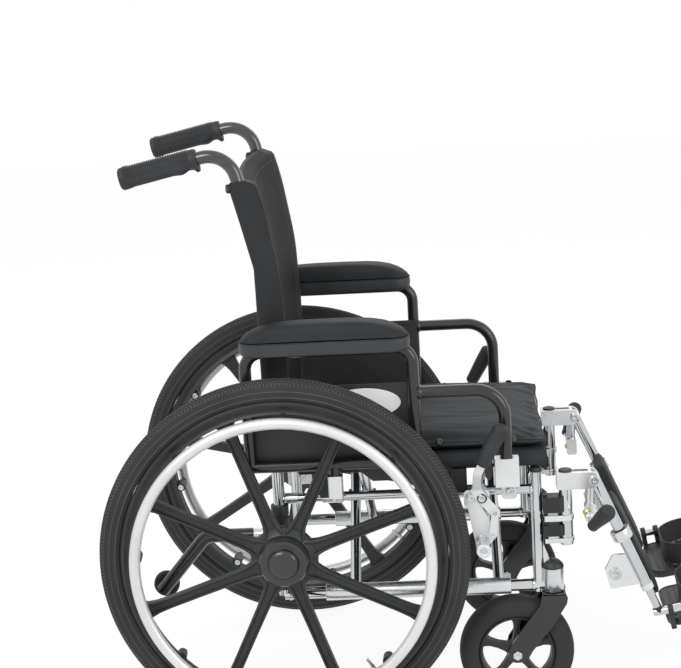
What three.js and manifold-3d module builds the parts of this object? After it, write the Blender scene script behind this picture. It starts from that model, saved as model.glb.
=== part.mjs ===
// Folding manual wheelchair with swing-away elevating legrests, desk-length
// armrests, mag wheels, push-to-lock brakes and anti-tip wheels.
// Millimetres, +Z up, +X the way the chair faces, +Y the sitter's left.
// One side is built in its own axes (x forward from the rear axle, y outward,
// z up from the floor) and placed twice, as it is and mirrored.

import * as THREE from 'three';
import { mergeVertices } from 'three/addons/utils/BufferGeometryUtils.js';
import ManifoldModule from 'manifold-3d';

const kernel = await ManifoldModule();
kernel.setup();

// Sizes

const GAP = 0.3; // clearance between pieces that touch
const RUN_GAP = 0.7; // clearance under the caster crown
const OVERRUN = 3; // how far a cut runs past the face it opens
const SINK = 3; // how far a welded piece runs into its neighbour
const WELD = 0.0005; // distance at which shared corners are merged
const TUBE_SIDES = 10;
const WHEEL_SIDES = 40;
const ROUND_SIDES = 16;
const BOLT_SIDES = 6;
const CASTER_SIDES = 16;
const BEND_STEPS = 3;

// Planes across the chair, measured from the middle.
const FRAME_Y = 192;
const ARM_Y = 240;
const WHEEL_Y = 275;

const TYRE = {
  radius: 305, inner: 270, width: 35, treadWidth: 16, shoulder: 298, wall: 282,
  beadWidth: 26, shoulderWidth: 31,
};
const RIM = { inner: 248, width: 30, flange: 264, seatWidth: 26 };
const HUB = { radius: 40, inboard: 245, outboard: 297 };
const SPOKE = { count: 8, width: 19, thick: 16, root: 30, tip: 252, phase: 22.5 };
const WHEEL_TURNS = { left: -9.8, right: 3.2 };
const HANDRIM = { radius: 241.5, tube: 9.3, plane: 316, sides: 5 };
const STANDOFF = { count: 8, radius: 5.5, foot: 256 };
const CAP = { flange: 39.5, flangeThick: 5.5, dome: 25, domeHeight: 9, crown: 17 };
const AXLE = { radius: 6, inboardEnd: 205 };

const POST = { rearX: -10, rearRadius: 10, rearTop: 436, frontX: 419, frontRadius: 9.5 };
const POST_CAP = { top: 421, shoulder: 416, radius: 7 };
const RAIL = { upperZ: 381, upperRadius: 8, lowerZ: 212, lowerRadius: 10, lowerFront: 428 };
const HOUSING = { x: 443, radius: 18, bottom: 202, top: 243, capTop: 258, capRadius: 12 };
const STEM = { radius: 8, top: 225 };
const GUSSET = { top: 285, thick: 6, slopeX: 432 };
const CRADLE = { rearX: 60, frontX: 280, length: 25, halfWidth: 12.5, top: 424 };
const AXLE_PLATE = { rear: -25, front: 20, bottom: 283, top: 327, inboard: 186, outboard: 203 };
const AXLE_BOSS = { radius: 16, outboard: 240 };
const COLLAR = { radius: 15, bottom: 333, top: 371 };
const TIP_SOCKET = { z: 320, rear: -57, front: -14, radius: 9.5, boreEnd: -26 };

const ARM_TUBE = { radius: 10, rearX: -48, frontX: 224, top: 645, bottom: 452, bend: 28 };
const ARM_FRONT = { drop: 77, postX: 370, end: 418, bend: 48 };
const ARM_STUB = { x: 89, end: 404 };
const REAR_SOCKET = { rear: 77, front: 101, bottom: 396, top: 434, halfWidth: 12 };
const REAR_BRACKET = { rear: 80, front: 98, webTop: 408, plateBottom: 373, plateOut: 204 };
const FRONT_SOCKET = { rear: 350, front: 390, bottom: 413, top: 452, halfWidth: 12 };
const FRONT_LUG = { rear: 352, front: 388, bottom: 370, outboard: 212, webTop: 420 };
const NUT = { radius: 7, height: 7, rearX: 92, rearZ: 381, frontX: 375, frontZ: 386 };
const LOCK = {
  rear: 333, front: 347, bottom: 414, top: 452, inboard: 234, outboard: 243, pivotZ: 445, pin: 3,
};

const ARM_PAD = { rear: -55, front: 221, sunk: 2, band: 22, crown: 30, width: 60 };
const ARM_PAD_GRID = [8, 4, 3];
const ARM_PAD_SHARES = {
  seam: 1 / 3, endTaper: 0.35, crownSide: 0.5, crownEnd: 0.55, tuck: 0.93, nose: 0.012,
};
const GUARD = {
  inboard: 226.5, thick: 2.8, rear: -57, bottom: 438, stepX: 126, slopeX: 150, low: 417,
  front: 230, belowTube: 63,
};
const GUARD_HEM = { height: 6, raise: 1.2 };
const BADGE = { x: 162, z: 552, length: 84, height: 47, raise: 1 };

const CANE = { radius: 11, bendZ: 775, topX: -57, topZ: 970, endX: -226, slope: 0.2198 };
const CANE_BENDS = { lower: 260, upper: 45 };
const GRIP = { front: -107, length: 130, radius: 17.5, collar: 19, neck: 14, lip: 20.5, lipLength: 9 };
const GRIP_HOOK = { drop: 27, length: 12, width: 16 };
const GRIP_WALL = 5;

const BACK = { halfWidth: 206, bottom: 470, top: 921, behind: 18, ahead: 31, sag: 16, pinch: 5 };
const BACK_GRID = { across: 8, up: 6 };
const BACK_SHARES = { sagBehind: 0.5 };

const SADDLE = {
  rear: 429, front: 462, bottom: 285, top: 373, halfWidth: 14, slit: 5,
  window: 11, windowHeight: 22, strapRadius: 12.4, strapHeight: 5.5,
};
const HANGER = { x: 467.5, radius: 11, bottom: 283 };
const BRACKET = {
  rear: 453, front: 524, bottom: 381, top: 410, halfWidth: 15, wall: 3.4,
  slotRear: 480, slotFront: 506, slotHalf: 6,
};
const LEG_BOLT = { x: 515, z: 396, radius: 4, head: 7, headHeight: 4 };
const LEG = { sine: 0.4, width: 19, halfDepth: 9.8, length: 215, boss: 9 };
const RATCHET = { topX: 509, topZ: 386, lowX: 507, lowZ: 346, radius: 8 };
const LATCH_LUG = { rear: 499, front: 517, bottom: 322, top: 350, outboard: 200 };
const LEG_PLATE = {
  rear: 529, rearZ: 238, topRear: 545, topFront: 563, top: 264, front: 586,
  frontZ: 211, bottom: 204, bottomRear: 537, outboard: 206, boltX: 545, boltZ: 232, bolt: 7,
  boltHeight: 3,
};
const RELEASE = { x: 505, z: 334, hub: 7, rod: 4.5, bendY: 262 };
const RELEASE_HUB_LENGTH = 13;
const RELEASE_GRIP = { nearX: 505, nearY: 269, nearZ: 338, farX: 529, farY: 320, farZ: 382, radius: 13.5 };
const CALF = { start: 73, end: 247, thick: 21, inboard: 57, outboard: 167, ahead: 5 };
const CALF_GRID = [2, 4, 6];
const CALF_SHARES = { sideThin: 0.25, endThin: 0.3, corner: 0.1 };
const CALF_SLEEVE = { start: 100, length: 18, inner: 14, outer: 17, arm: 5 };
const FOOT_TUBE = { radius: 6.8, start: 90, end: 262 };
const FOOT_ROD = { x: 616, z: 155, radius: 7, back: 7, length: 62, pitch: 10 };
const PLATE = {
  rear: 15, front: 176, inboard: 36, outboard: 190, top: 20, thick: 14, corner: 22,
};
const PLATE_LUG = { length: 9, spacing: 24, inboard: 184, outboard: 200, radius: 11 };
const HEEL = { rear: 48, front: 118, inboard: 46, outboard: 178, height: 40, thick: 3, bend: 46 };

const CASTER = { radius: 97, width: 44, x: 378, crown: 12, hub: 15, hubWidth: 36, rim: 40, web: 14 };
const CASTER_HOLE = { count: 5, radius: 8.5, at: 27.5 };
const CASTER_AXLE = { radius: 5, head: 9, headHeight: 4 };
const FORK = { crownThick: 4.8, sideGap: 2, wall: 5, hubReach: 14, neckHalf: 20, crownHalf: 20 };

const BRAKE = {
  boltZ: 386, shoeX: 309, leverX: 327, inboard: 241.4, layer: 3.6, bolt: 4, head: 6.5,
  headHeight: 3,
};
const BRAKE_MOUNT = { rear: 298, front: 340, bottom: 370, top: 398, wall: 5, coreRear: 305, coreFront: 333 };
const BRAKE_CORE = { bottom: 374, top: 393 };
const BRAKE_LEVER = {
  bendX: 319, bendZ: 398, riseX: 321, riseZ: 436, tipX: 365, tipZ: 514, lowX: 348, lowZ: 360,
  outY: 267, half: 7, grip: 13, hole: 3,
};
const BRAKE_SHOE = { x: 326, z: 309, radius: 12, outboard: 290, pinX: 343, pinZ: 322, boss: 6 };
const BRAKE_LINK_HALF = 6;

const BRACE = {
  radius: 9, rearX: 110, frontX: 352, step: 22, sleeveRear: 60, sleeveFront: 372, sleeve: 14,
  bolt: 5, boltEnd: 36,
};
const SEAT_RAIL = { z: 435, radius: 11, rear: 25, front: 432 };
const SLING = { rear: 26, front: 439, top: 448.4, thick: 2.2, wrap: 13.5, notch: 12 };
const CUSHION = { rear: 28, front: 440, halfWidth: 188, bottom: 448.8, edge: 470, crown: 477 };
const CUSHION_PULL = 4;
const CUSHION_WAVE = 1.1;
const CUSHION_WAVE_COUNT = 7;
const CUSHION_GRID = [16, 6, 2];
const CUSHION_SHARES = { seam: 0.2, side: 0.5, tuck: 0.5 };

const TIP_TUBE = { radius: 11.5, spigot: 6.4, spigotEnd: -30, straight: -125, endX: -218, endZ: 226, bend: 26 };
const TIP_WHEEL = { x: -213, z: 231, radius: 22, outboard: 180, inboard: 161, axle: 4, rimInset: 4 };
const TIP_BUTTON = { radius: 4, height: 4, share: 0.55 };

// Materials

const material = (name, color, roughness, metalness) =>
  Object.assign(new THREE.MeshStandardMaterial({ color, roughness, metalness }), { name });

const SILVER = material('silver_steel', 0xc9cccd, 0.28, 0.85);
const CHROME = material('chrome', 0xdcdfe0, 0.12, 1);
const BLACK_TUBE = material('black_tube', 0x2a2c2e, 0.35, 0.3);
const BLACK_PLASTIC = material('black_plastic', 0x26282a, 0.5, 0);
const WHITE_PLASTIC = material('white_plastic', 0xd9dadb, 0.45, 0);
const SOFT_GRIP = material('grip_rubber', 0x2c2e31, 0.7, 0);
const TYRE_RUBBER = material('tyre_rubber', 0x2b2d2e, 0.85, 0);
const VINYL = material('vinyl', 0x3c4042, 0.55, 0);
const PAD_VINYL = material('pad_vinyl', 0x33373a, 0.6, 0);
const RIM_SILVER = material('rim_silver', 0xd6d9da, 0.35, 0.7);

// Helpers

const at = (x, y, z) => new THREE.Vector3(x, y, z);

const solidOf = (geometry) => {
  const bare = new THREE.BufferGeometry();
  const plain = geometry.index ? geometry.toNonIndexed() : geometry;
  bare.setAttribute('position', plain.getAttribute('position'));
  const welded = mergeVertices(bare, WELD);
  const corners = [];
  for (let i = 0; i < welded.index.count; i += 3) {
    const [a, b, c] = [welded.index.getX(i), welded.index.getX(i + 1), welded.index.getX(i + 2)];
    if (a !== b && b !== c && a !== c) corners.push(a, b, c);
  }
  return new kernel.Manifold(new kernel.Mesh({
    numProp: 3,
    vertProperties: new Float32Array(welded.getAttribute('position').array),
    triVerts: new Uint32Array(corners),
  }));
};

const geometryOf = (solid) => {
  const mesh = solid.getMesh();
  const geometry = new THREE.BufferGeometry();
  geometry.setAttribute('position', new THREE.BufferAttribute(mesh.vertProperties, 3));
  geometry.setIndex(new THREE.BufferAttribute(mesh.triVerts, 1));
  geometry.computeVertexNormals();
  return geometry;
};

const join = (...solids) => kernel.Manifold.union(solids);
const cut = (solid, ...tools) => kernel.Manifold.difference([solid, ...tools]);

// Radius of a faceted hole that clears a faceted shaft in any position.
const holeFor = (radius, sides = TUBE_SIDES) => (radius + GAP) / Math.cos(Math.PI / sides);

const block = (x0, x1, y0, y1, z0, z1) => {
  const box = new THREE.BoxGeometry(x1 - x0, y1 - y0, z1 - z0);
  box.translate((x0 + x1) / 2, (y0 + y1) / 2, (z0 + z1) / 2);
  return solidOf(box);
};

const bar = (from, to, radius, sides = TUBE_SIDES, endRadius = radius) => {
  const along = to.clone().sub(from);
  const rod = new THREE.CylinderGeometry(endRadius, radius, along.length(), sides);
  rod.applyQuaternion(new THREE.Quaternion().setFromUnitVectors(at(0, 1, 0), along.normalize()));
  rod.translate((from.x + to.x) / 2, (from.y + to.y) / 2, (from.z + to.z) / 2);
  return solidOf(rod);
};

// A cylinder across the chair at (x, z), from one y to another.
const crossBar = (x, z, y0, y1, radius, sides = TUBE_SIDES) =>
  bar(at(x, y0, z), at(x, y1, z), radius, sides);

// A flat plate cut to an outline in x and z, between two y planes.
const plate = (outline, y0, y1) => {
  const shape = new THREE.Shape(outline.map(([x, z]) => new THREE.Vector2(x, z)));
  const slab = new THREE.ExtrudeGeometry(shape, { depth: y1 - y0, bevelEnabled: false });
  slab.rotateX(Math.PI / 2);
  slab.translate(0, y1, 0);
  return solidOf(slab);
};

// A body of revolution about the y axis, from [radius, y] pairs.
const turned = (profile, sides) => {
  const first = profile[0];
  const open = first[0] === 0;
  const points = (open ? profile : [...profile, first]).map(([r, y]) => new THREE.Vector2(r, y));
  const lathe = new THREE.LatheGeometry(points, sides);
  lathe.rotateY(Math.PI / sides);
  return solidOf(lathe);
};

// A path through given points; tubes take one ring at each.
class PointPath extends THREE.Curve {
  constructor(points) {
    super();
    this.points = points;
    this.arcLengthDivisions = points.length;
  }
  getPoint(t) {
    const place = t * (this.points.length - 1);
    const i = Math.min(Math.floor(place + WELD), this.points.length - 2);
    return this.points[i].clone().lerp(this.points[i + 1], Math.max(0, place - i));
  }
  getPointAt(t) {
    return this.getPoint(t);
  }
  getTangent(t) {
    const last = this.points.length - 1;
    const i = Math.round(t * last);
    const before = this.points[Math.max(i - 1, 0)];
    const here = this.points[i];
    const after = this.points[Math.min(i + 1, last)];
    const arriving = here.clone().sub(before).normalize();
    const leaving = after.clone().sub(here).normalize();
    return arriving.add(leaving).normalize();
  }
  getTangentAt(t) {
    return this.getTangent(t);
  }
}

// Replaces each inner corner of a route by an arc of the given radius.
const rounded = (points, radii) => {
  const route = [points[0]];
  for (let i = 1; i < points.length - 1; i += 1) {
    const corner = points[i];
    const back = points[i - 1].clone().sub(corner).normalize();
    const ahead = points[i + 1].clone().sub(corner).normalize();
    const half = back.angleTo(ahead) / 2;
    const radius = Array.isArray(radii) ? radii[i - 1] : radii;
    const reach = radius / Math.tan(half);
    const middle = back.clone().add(ahead).normalize().multiplyScalar(radius / Math.sin(half));
    const centre = corner.clone().add(middle);
    const from = corner.clone().addScaledVector(back, reach).sub(centre);
    const to = corner.clone().addScaledVector(ahead, reach).sub(centre);
    const sweep = from.angleTo(to);
    const axis = from.clone().cross(to).normalize();
    for (let k = 0; k <= BEND_STEPS; k += 1) {
      route.push(centre.clone().add(from.clone().applyAxisAngle(axis, (sweep * k) / BEND_STEPS)));
    }
  }
  route.push(points[points.length - 1]);
  return route;
};

const circle = (radius, sides) => {
  const ring = [];
  for (let i = 0; i < sides; i += 1) {
    const turn = ((i + 0.5) / sides) * 2 * Math.PI;
    ring.push(new THREE.Vector2(radius * Math.cos(turn), radius * Math.sin(turn)));
  }
  return new THREE.Shape(ring);
};

const tube = (points, radius, sides = TUBE_SIDES) => {
  const options = { steps: points.length - 1, extrudePath: new PointPath(points) };
  return solidOf(new THREE.ExtrudeGeometry(circle(radius, sides), options));
};

const spun = (make, count, phase) => {
  const copies = [];
  for (let i = 0; i < count; i += 1) {
    copies.push(make().rotate([0, phase + (360 * i) / count, 0]));
  }
  return copies;
};

// A soft block: a box grid whose points a shaping rule moves.
const softBlock = (segments, shapePoint) => {
  const box = new THREE.BoxGeometry(2, 2, 2, ...segments);
  const spots = box.getAttribute('position');
  for (let i = 0; i < spots.count; i += 1) {
    const placed = shapePoint(spots.getX(i), spots.getY(i), spots.getZ(i));
    spots.setXYZ(i, placed.x, placed.y, placed.z);
  }
  return solidOf(box);
};

const mix = (low, high, share) => low + (high - low) * share;

// Rear wheel

const onAxle = (solid) => solid.translate([0, WHEEL_Y, TYRE.radius]);

function tyre() {
  const outer = TYRE.radius / Math.cos(Math.PI / WHEEL_SIDES);
  const half = TYRE.width / 2;
  const seat = TYRE.beadWidth / 2;
  const shoulder = TYRE.shoulderWidth / 2;
  const tread = TYRE.treadWidth / 2;
  return onAxle(turned([
    [TYRE.inner, -seat], [TYRE.wall, -half], [TYRE.shoulder, -shoulder], [outer, -tread],
    [outer, tread], [TYRE.shoulder, shoulder], [TYRE.wall, half], [TYRE.inner, seat],
  ], WHEEL_SIDES));
}

function magWheel(turn) {
  const half = RIM.width / 2;
  const seat = RIM.seatWidth / 2;
  const rimOuter = TYRE.inner - GAP;
  const rim = turned([
    [RIM.inner, -half], [RIM.flange, -half], [rimOuter, -seat],
    [rimOuter, seat], [RIM.flange, half], [RIM.inner, half],
  ], WHEEL_SIDES);
  const hubLow = HUB.inboard - WHEEL_Y;
  const hubHigh = HUB.outboard - WHEEL_Y;
  const hub = crossBar(0, 0, hubLow, hubHigh, HUB.radius, ROUND_SIDES);
  const spoke = () => block(
    SPOKE.root, SPOKE.tip, -SPOKE.thick / 2, SPOKE.thick / 2, -SPOKE.width / 2, SPOKE.width / 2);
  const spokes = spun(spoke, SPOKE.count, SPOKE.phase + turn);
  const bore = crossBar(0, 0, hubLow - OVERRUN, hubHigh + OVERRUN, holeFor(AXLE.radius));
  return onAxle(cut(join(rim, hub, ...spokes), bore));
}

function handrim(turn) {
  const lift = HANDRIM.plane - WHEEL_Y;
  const ring = [];
  for (let i = 0; i < HANDRIM.sides; i += 1) {
    const angle = ((i + 0.5) / HANDRIM.sides) * 2 * Math.PI;
    ring.push([
      HANDRIM.radius + HANDRIM.tube * Math.cos(angle), lift + HANDRIM.tube * Math.sin(angle)]);
  }
  const foot = RIM.width / 2 + GAP;
  const below = block(RIM.inner - RIM.width, TYRE.inner, foot - RIM.width / 2, foot,
    -RIM.width, RIM.width);
  const standoff = () => cut(
    bar(at(STANDOFF.foot, foot - STANDOFF.radius, 0), at(HANDRIM.radius, lift, 0), STANDOFF.radius,
      BOLT_SIDES),
    below);
  const standoffs = spun(standoff, STANDOFF.count, turn);
  return onAxle(join(turned(ring, WHEEL_SIDES), ...standoffs));
}

function hubCap() {
  const face = HUB.outboard - WHEEL_Y + GAP;
  const rise = face + CAP.flangeThick;
  const pinEnd = AXLE.inboardEnd - WHEEL_Y;
  return onAxle(turned([
    [0, pinEnd], [AXLE.radius, pinEnd], [AXLE.radius, face], [CAP.flange, face],
    [CAP.flange, rise], [CAP.dome, rise], [CAP.crown, rise + CAP.domeHeight],
    [0, rise + CAP.domeHeight],
  ], ROUND_SIDES));
}

// Side frame

function frameTubes() {
  const y = FRAME_Y;
  return [
    bar(at(POST.rearX, y, RAIL.lowerZ), at(POST.rearX, y, POST.rearTop - GAP), POST.rearRadius),
    bar(at(POST.rearX, y, RAIL.upperZ), at(POST.frontX, y, RAIL.upperZ), RAIL.upperRadius),
    bar(at(POST.frontX, y, HOUSING.bottom), at(POST.frontX, y, POST_CAP.shoulder), POST.frontRadius),
    bar(at(POST.frontX, y, POST_CAP.shoulder), at(POST.frontX, y, POST_CAP.top),
      POST.frontRadius, TUBE_SIDES, POST_CAP.radius),
    bar(at(POST.rearX, y, RAIL.lowerZ), at(RAIL.lowerFront, y, RAIL.lowerZ), RAIL.lowerRadius),
  ];
}

function casterHousing() {
  const y = FRAME_Y;
  const x = HOUSING.x;
  return [
    bar(at(x, y, HOUSING.bottom), at(x, y, HOUSING.top), HOUSING.radius, ROUND_SIDES),
    bar(at(x, y, HOUSING.top), at(x, y, HOUSING.capTop), HOUSING.radius, ROUND_SIDES,
      HOUSING.capRadius),
    plate([
      [POST.frontX, HOUSING.bottom + SINK], [x, HOUSING.bottom + SINK], [x, HOUSING.top],
      [GUSSET.slopeX, GUSSET.top], [POST.frontX, GUSSET.top],
    ], y - GUSSET.thick / 2, y + GUSSET.thick / 2),
  ];
}

function seatCradle(rear) {
  const y = FRAME_Y;
  const notch = holeFor(SLING.wrap);
  return cut(
    block(rear, rear + CRADLE.length, y - CRADLE.halfWidth, y + CRADLE.halfWidth,
      RAIL.upperZ, CRADLE.top),
    bar(at(rear - OVERRUN, y, SEAT_RAIL.z), at(rear + CRADLE.length + OVERRUN, y, SEAT_RAIL.z), notch));
}

function rearArmSocket() {
  const base = FRAME_Y + RAIL.upperRadius;
  const inboard = ARM_Y - REAR_SOCKET.halfWidth;
  return [
    block(REAR_SOCKET.rear, REAR_SOCKET.front, inboard, ARM_Y + REAR_SOCKET.halfWidth,
      REAR_SOCKET.bottom, REAR_SOCKET.top),
    block(REAR_BRACKET.rear, REAR_BRACKET.front, base - SINK, inboard + GAP,
      REAR_SOCKET.bottom, REAR_BRACKET.webTop),
    block(REAR_BRACKET.rear, REAR_BRACKET.front, base - SINK, REAR_BRACKET.plateOut,
      REAR_BRACKET.plateBottom, REAR_BRACKET.webTop),
    crossBar(NUT.rearX, NUT.rearZ, REAR_BRACKET.plateOut - SINK, REAR_BRACKET.plateOut + NUT.height,
      NUT.radius, BOLT_SIDES),
  ];
}

function brakeMount() {
  const base = FRAME_Y + RAIL.upperRadius;
  const face = BRAKE.inboard - GAP;
  const leverPin = BRAKE.inboard + 2 * BRAKE.layer + GAP;
  const shoePin = BRAKE.inboard + BRAKE.layer + GAP;
  return [
    block(BRAKE_MOUNT.rear, BRAKE_MOUNT.front, face - BRAKE_MOUNT.wall, face,
      BRAKE_MOUNT.bottom, BRAKE_MOUNT.top),
    block(BRAKE_MOUNT.coreRear, BRAKE_MOUNT.coreFront, base - SINK, face - BRAKE_MOUNT.wall / 2,
      BRAKE_CORE.bottom, BRAKE_CORE.top),
    crossBar(BRAKE.shoeX, BRAKE.boltZ, face - SINK, shoePin, BRAKE.bolt),
    crossBar(BRAKE.shoeX, BRAKE.boltZ, shoePin, shoePin + BRAKE.headHeight, BRAKE.head, BOLT_SIDES),
    crossBar(BRAKE.leverX, BRAKE.boltZ, face - SINK, leverPin, BRAKE.bolt),
    crossBar(BRAKE.leverX, BRAKE.boltZ, leverPin, leverPin + BRAKE.headHeight, BRAKE.head, BOLT_SIDES),
  ];
}

function sideFrame() {
  const y = FRAME_Y;
  const solid = join(
    ...frameTubes(),
    ...casterHousing(),
    seatCradle(CRADLE.rearX),
    seatCradle(CRADLE.frontX),
    block(AXLE_PLATE.rear, AXLE_PLATE.front, AXLE_PLATE.inboard, AXLE_PLATE.outboard,
      AXLE_PLATE.bottom, AXLE_PLATE.top),
    crossBar(0, TYRE.radius, AXLE_PLATE.outboard - SINK, AXLE_BOSS.outboard, AXLE_BOSS.radius),
    bar(at(POST.rearX, y, COLLAR.bottom), at(POST.rearX, y, COLLAR.top), COLLAR.radius),
    bar(at(TIP_SOCKET.rear, y, TIP_SOCKET.z), at(TIP_SOCKET.front, y, TIP_SOCKET.z),
      TIP_SOCKET.radius),
    ...rearArmSocket(),
    ...brakeMount(),
  );
  const bottom = HOUSING.bottom - OVERRUN;
  return cut(solid,
    bar(at(HOUSING.x, y, bottom), at(HOUSING.x, y, STEM.top + GAP), holeFor(STEM.radius)),
    crossBar(0, TYRE.radius, AXLE.inboardEnd - GAP, AXLE_BOSS.outboard + OVERRUN,
      holeFor(AXLE.radius)),
    bar(at(TIP_SOCKET.rear - OVERRUN, y, TIP_SOCKET.z), at(TIP_SOCKET.boreEnd, y, TIP_SOCKET.z),
      holeFor(TIP_TUBE.spigot)),
    bar(at(ARM_STUB.x, ARM_Y, REAR_SOCKET.bottom - OVERRUN),
      at(ARM_STUB.x, ARM_Y, REAR_SOCKET.top + OVERRUN), holeFor(ARM_TUBE.radius)));
}

// Back

const caneRoute = () => rounded([
  at(POST.rearX, FRAME_Y, POST.rearTop),
  at(POST.rearX, FRAME_Y, CANE.bendZ),
  at(CANE.topX, FRAME_Y, CANE.topZ),
  at(CANE.endX, FRAME_Y, CANE.topZ + (CANE.endX - CANE.topX) * CANE.slope),
], [CANE_BENDS.lower, CANE_BENDS.upper]);

const backCane = () => tube(caneRoute(), CANE.radius);

// Where the cane's centre line lies at a height.
const caneX = (z) => {
  if (z <= CANE.bendZ) return POST.rearX;
  const share = (z - CANE.bendZ) / (CANE.topZ - CANE.bendZ);
  return mix(POST.rearX, CANE.topX, share);
};

function pushGrip() {
  const length = GRIP.length;
  const hollow = holeFor(CANE.radius);
  const body = turned([
    [0, length - GRIP_WALL], [hollow, length - GRIP_WALL], [hollow, 0], [GRIP.neck, 0],
    [GRIP.collar, GRIP.lipLength / 2], [GRIP.radius, GRIP.lipLength],
    [GRIP.radius, length - GRIP.lipLength], [GRIP.lip, length - GRIP.lipLength / 2],
    [GRIP.lip - GRIP_WALL / 2, length], [0, length],
  ], ROUND_SIDES);
  const hook = block(hollow + GAP, GRIP_HOOK.drop, 0, GRIP_HOOK.length,
    -GRIP_HOOK.width / 2, GRIP_HOOK.width / 2);
  const pitch = Math.atan(CANE.slope);
  const front = GRIP.front - CANE.topX;
  return join(body, hook)
    .rotate([0, 90, 0])
    .rotate([0, 0, 90])
    .rotate([0, (-pitch * 180) / Math.PI, 0])
    .translate([GRIP.front, FRAME_Y, CANE.topZ + front * CANE.slope]);
}

function backUpholstery() {
  const hollow = holeFor(CANE.radius);
  const body = softBlock([1, BACK_GRID.across, BACK_GRID.up], (a, b, c) => {
    const z = mix(BACK.bottom, BACK.top, (c + 1) / 2);
    const middle = Math.cos((b * Math.PI) / 2);
    const edge = 1 - Math.abs(c) ** 6;
    const reach = a > 0 ? BACK.ahead - BACK.pinch * (1 - edge) : -BACK.behind;
    const sag = BACK.sag * middle * (a > 0 ? 1 : BACK_SHARES.sagBehind);
    return { x: caneX(z) + reach - sag, y: b * BACK.halfWidth, z };
  });
  const ends = [
    at(POST.rearX, FRAME_Y, BACK.bottom - OVERRUN), at(POST.rearX, FRAME_Y, CANE.bendZ),
    at(caneX(BACK.top + OVERRUN), FRAME_Y, BACK.top + OVERRUN),
  ];
  const channel = tube(rounded(ends, CANE_BENDS.lower), hollow);
  return cut(body, channel, channel.mirror([0, 1, 0]));
}

// Armrest

const armrestLoop = () => rounded([
  at(ARM_TUBE.rearX, ARM_Y, ARM_TUBE.bottom), at(ARM_TUBE.rearX, ARM_Y, ARM_TUBE.top),
  at(ARM_TUBE.frontX, ARM_Y, ARM_TUBE.top), at(ARM_TUBE.frontX, ARM_Y, ARM_TUBE.bottom),
], ARM_TUBE.bend);

function armrestFrame() {
  const y = ARM_Y;
  const frontTop = ARM_TUBE.top - ARM_FRONT.drop;
  const loop = tube(armrestLoop(), ARM_TUBE.radius);
  const foot = bar(at(ARM_TUBE.rearX - ARM_TUBE.radius, y, ARM_TUBE.bottom),
    at(ARM_TUBE.frontX + ARM_TUBE.radius, y, ARM_TUBE.bottom), ARM_TUBE.radius);
  const front = tube(rounded([
    at(ARM_TUBE.frontX, y, frontTop), at(ARM_FRONT.postX, y, frontTop),
    at(ARM_FRONT.postX, y, ARM_FRONT.end),
  ], ARM_FRONT.bend), ARM_TUBE.radius);
  const stub = bar(at(ARM_STUB.x, y, ARM_TUBE.bottom), at(ARM_STUB.x, y, ARM_STUB.end),
    ARM_TUBE.radius);
  return join(loop, foot, front, stub);
}

function armPad() {
  const half = ARM_PAD.width / 2;
  const bottom = ARM_TUBE.top - ARM_PAD.sunk;
  const seam = bottom + ARM_PAD.band;
  const shares = ARM_PAD_SHARES;
  const pad = softBlock(ARM_PAD_GRID, (a, b, c) => {
    const end = Math.abs(a) ** 8;
    const side = half * (1 - shares.endTaper * end);
    const full = (1 - shares.crownSide * Math.abs(b) ** 3) * (1 - shares.crownEnd * end);
    const high = seam + ARM_PAD.crown * full;
    const level = (c + 1) / 2;
    const rise = (level - shares.seam) / (1 - shares.seam);
    const nose = a * (1 - shares.nose * b ** 2);
    return {
      x: mix(ARM_PAD.rear, ARM_PAD.front, (nose + 1) / 2),
      y: ARM_Y + b * side * (c === 1 ? shares.tuck : 1),
      z: rise <= 0
        ? mix(bottom, seam, level / shares.seam)
        : mix(seam, high, rise),
    };
  });
  const groove = tube(armrestLoop(), holeFor(ARM_TUBE.radius));
  return cut(pad, groove);
}

function skirtGuard() {
  const outboard = GUARD.inboard + GUARD.thick;
  const top = ARM_TUBE.top - GUARD.belowTube;
  const sheet = plate([
    [GUARD.rear, GUARD.bottom], [GUARD.stepX, GUARD.bottom], [GUARD.slopeX, GUARD.low],
    [GUARD.front, GUARD.low], [GUARD.front, top], [GUARD.rear, top],
  ], GUARD.inboard, outboard);
  const hem = block(GUARD.rear, GUARD.front, GUARD.inboard - GUARD_HEM.raise,
    GUARD.inboard + GAP, top - GUARD_HEM.height, top);
  const badge = crossBar(0, 0, 0, GUARD.thick + BADGE.raise, 1, ROUND_SIDES)
    .scale([BADGE.length / 2, 1, BADGE.height / 2])
    .translate([BADGE.x, GUARD.inboard, BADGE.z]);
  return join(sheet, hem, badge);
}

function armSocketFront() {
  const base = FRAME_Y + RAIL.upperRadius + GAP;
  const inboard = ARM_Y - FRONT_SOCKET.halfWidth;
  const solid = join(
    block(FRONT_SOCKET.rear, FRONT_SOCKET.front, inboard, ARM_Y + FRONT_SOCKET.halfWidth,
      FRONT_SOCKET.bottom, FRONT_SOCKET.top),
    block(FRONT_LUG.rear, FRONT_LUG.front, base, inboard + GAP, FRONT_SOCKET.bottom,
      FRONT_LUG.webTop),
    block(FRONT_LUG.rear, FRONT_LUG.front, base, FRONT_LUG.outboard, FRONT_LUG.bottom,
      FRONT_LUG.webTop),
    crossBar(NUT.frontX, NUT.frontZ, FRONT_LUG.outboard - SINK, FRONT_LUG.outboard + NUT.height,
      NUT.radius, BOLT_SIDES));
  return cut(solid, bar(at(ARM_FRONT.postX, ARM_Y, FRONT_SOCKET.bottom - OVERRUN),
    at(ARM_FRONT.postX, ARM_Y, FRONT_SOCKET.top + OVERRUN), holeFor(ARM_TUBE.radius)));
}

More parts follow.
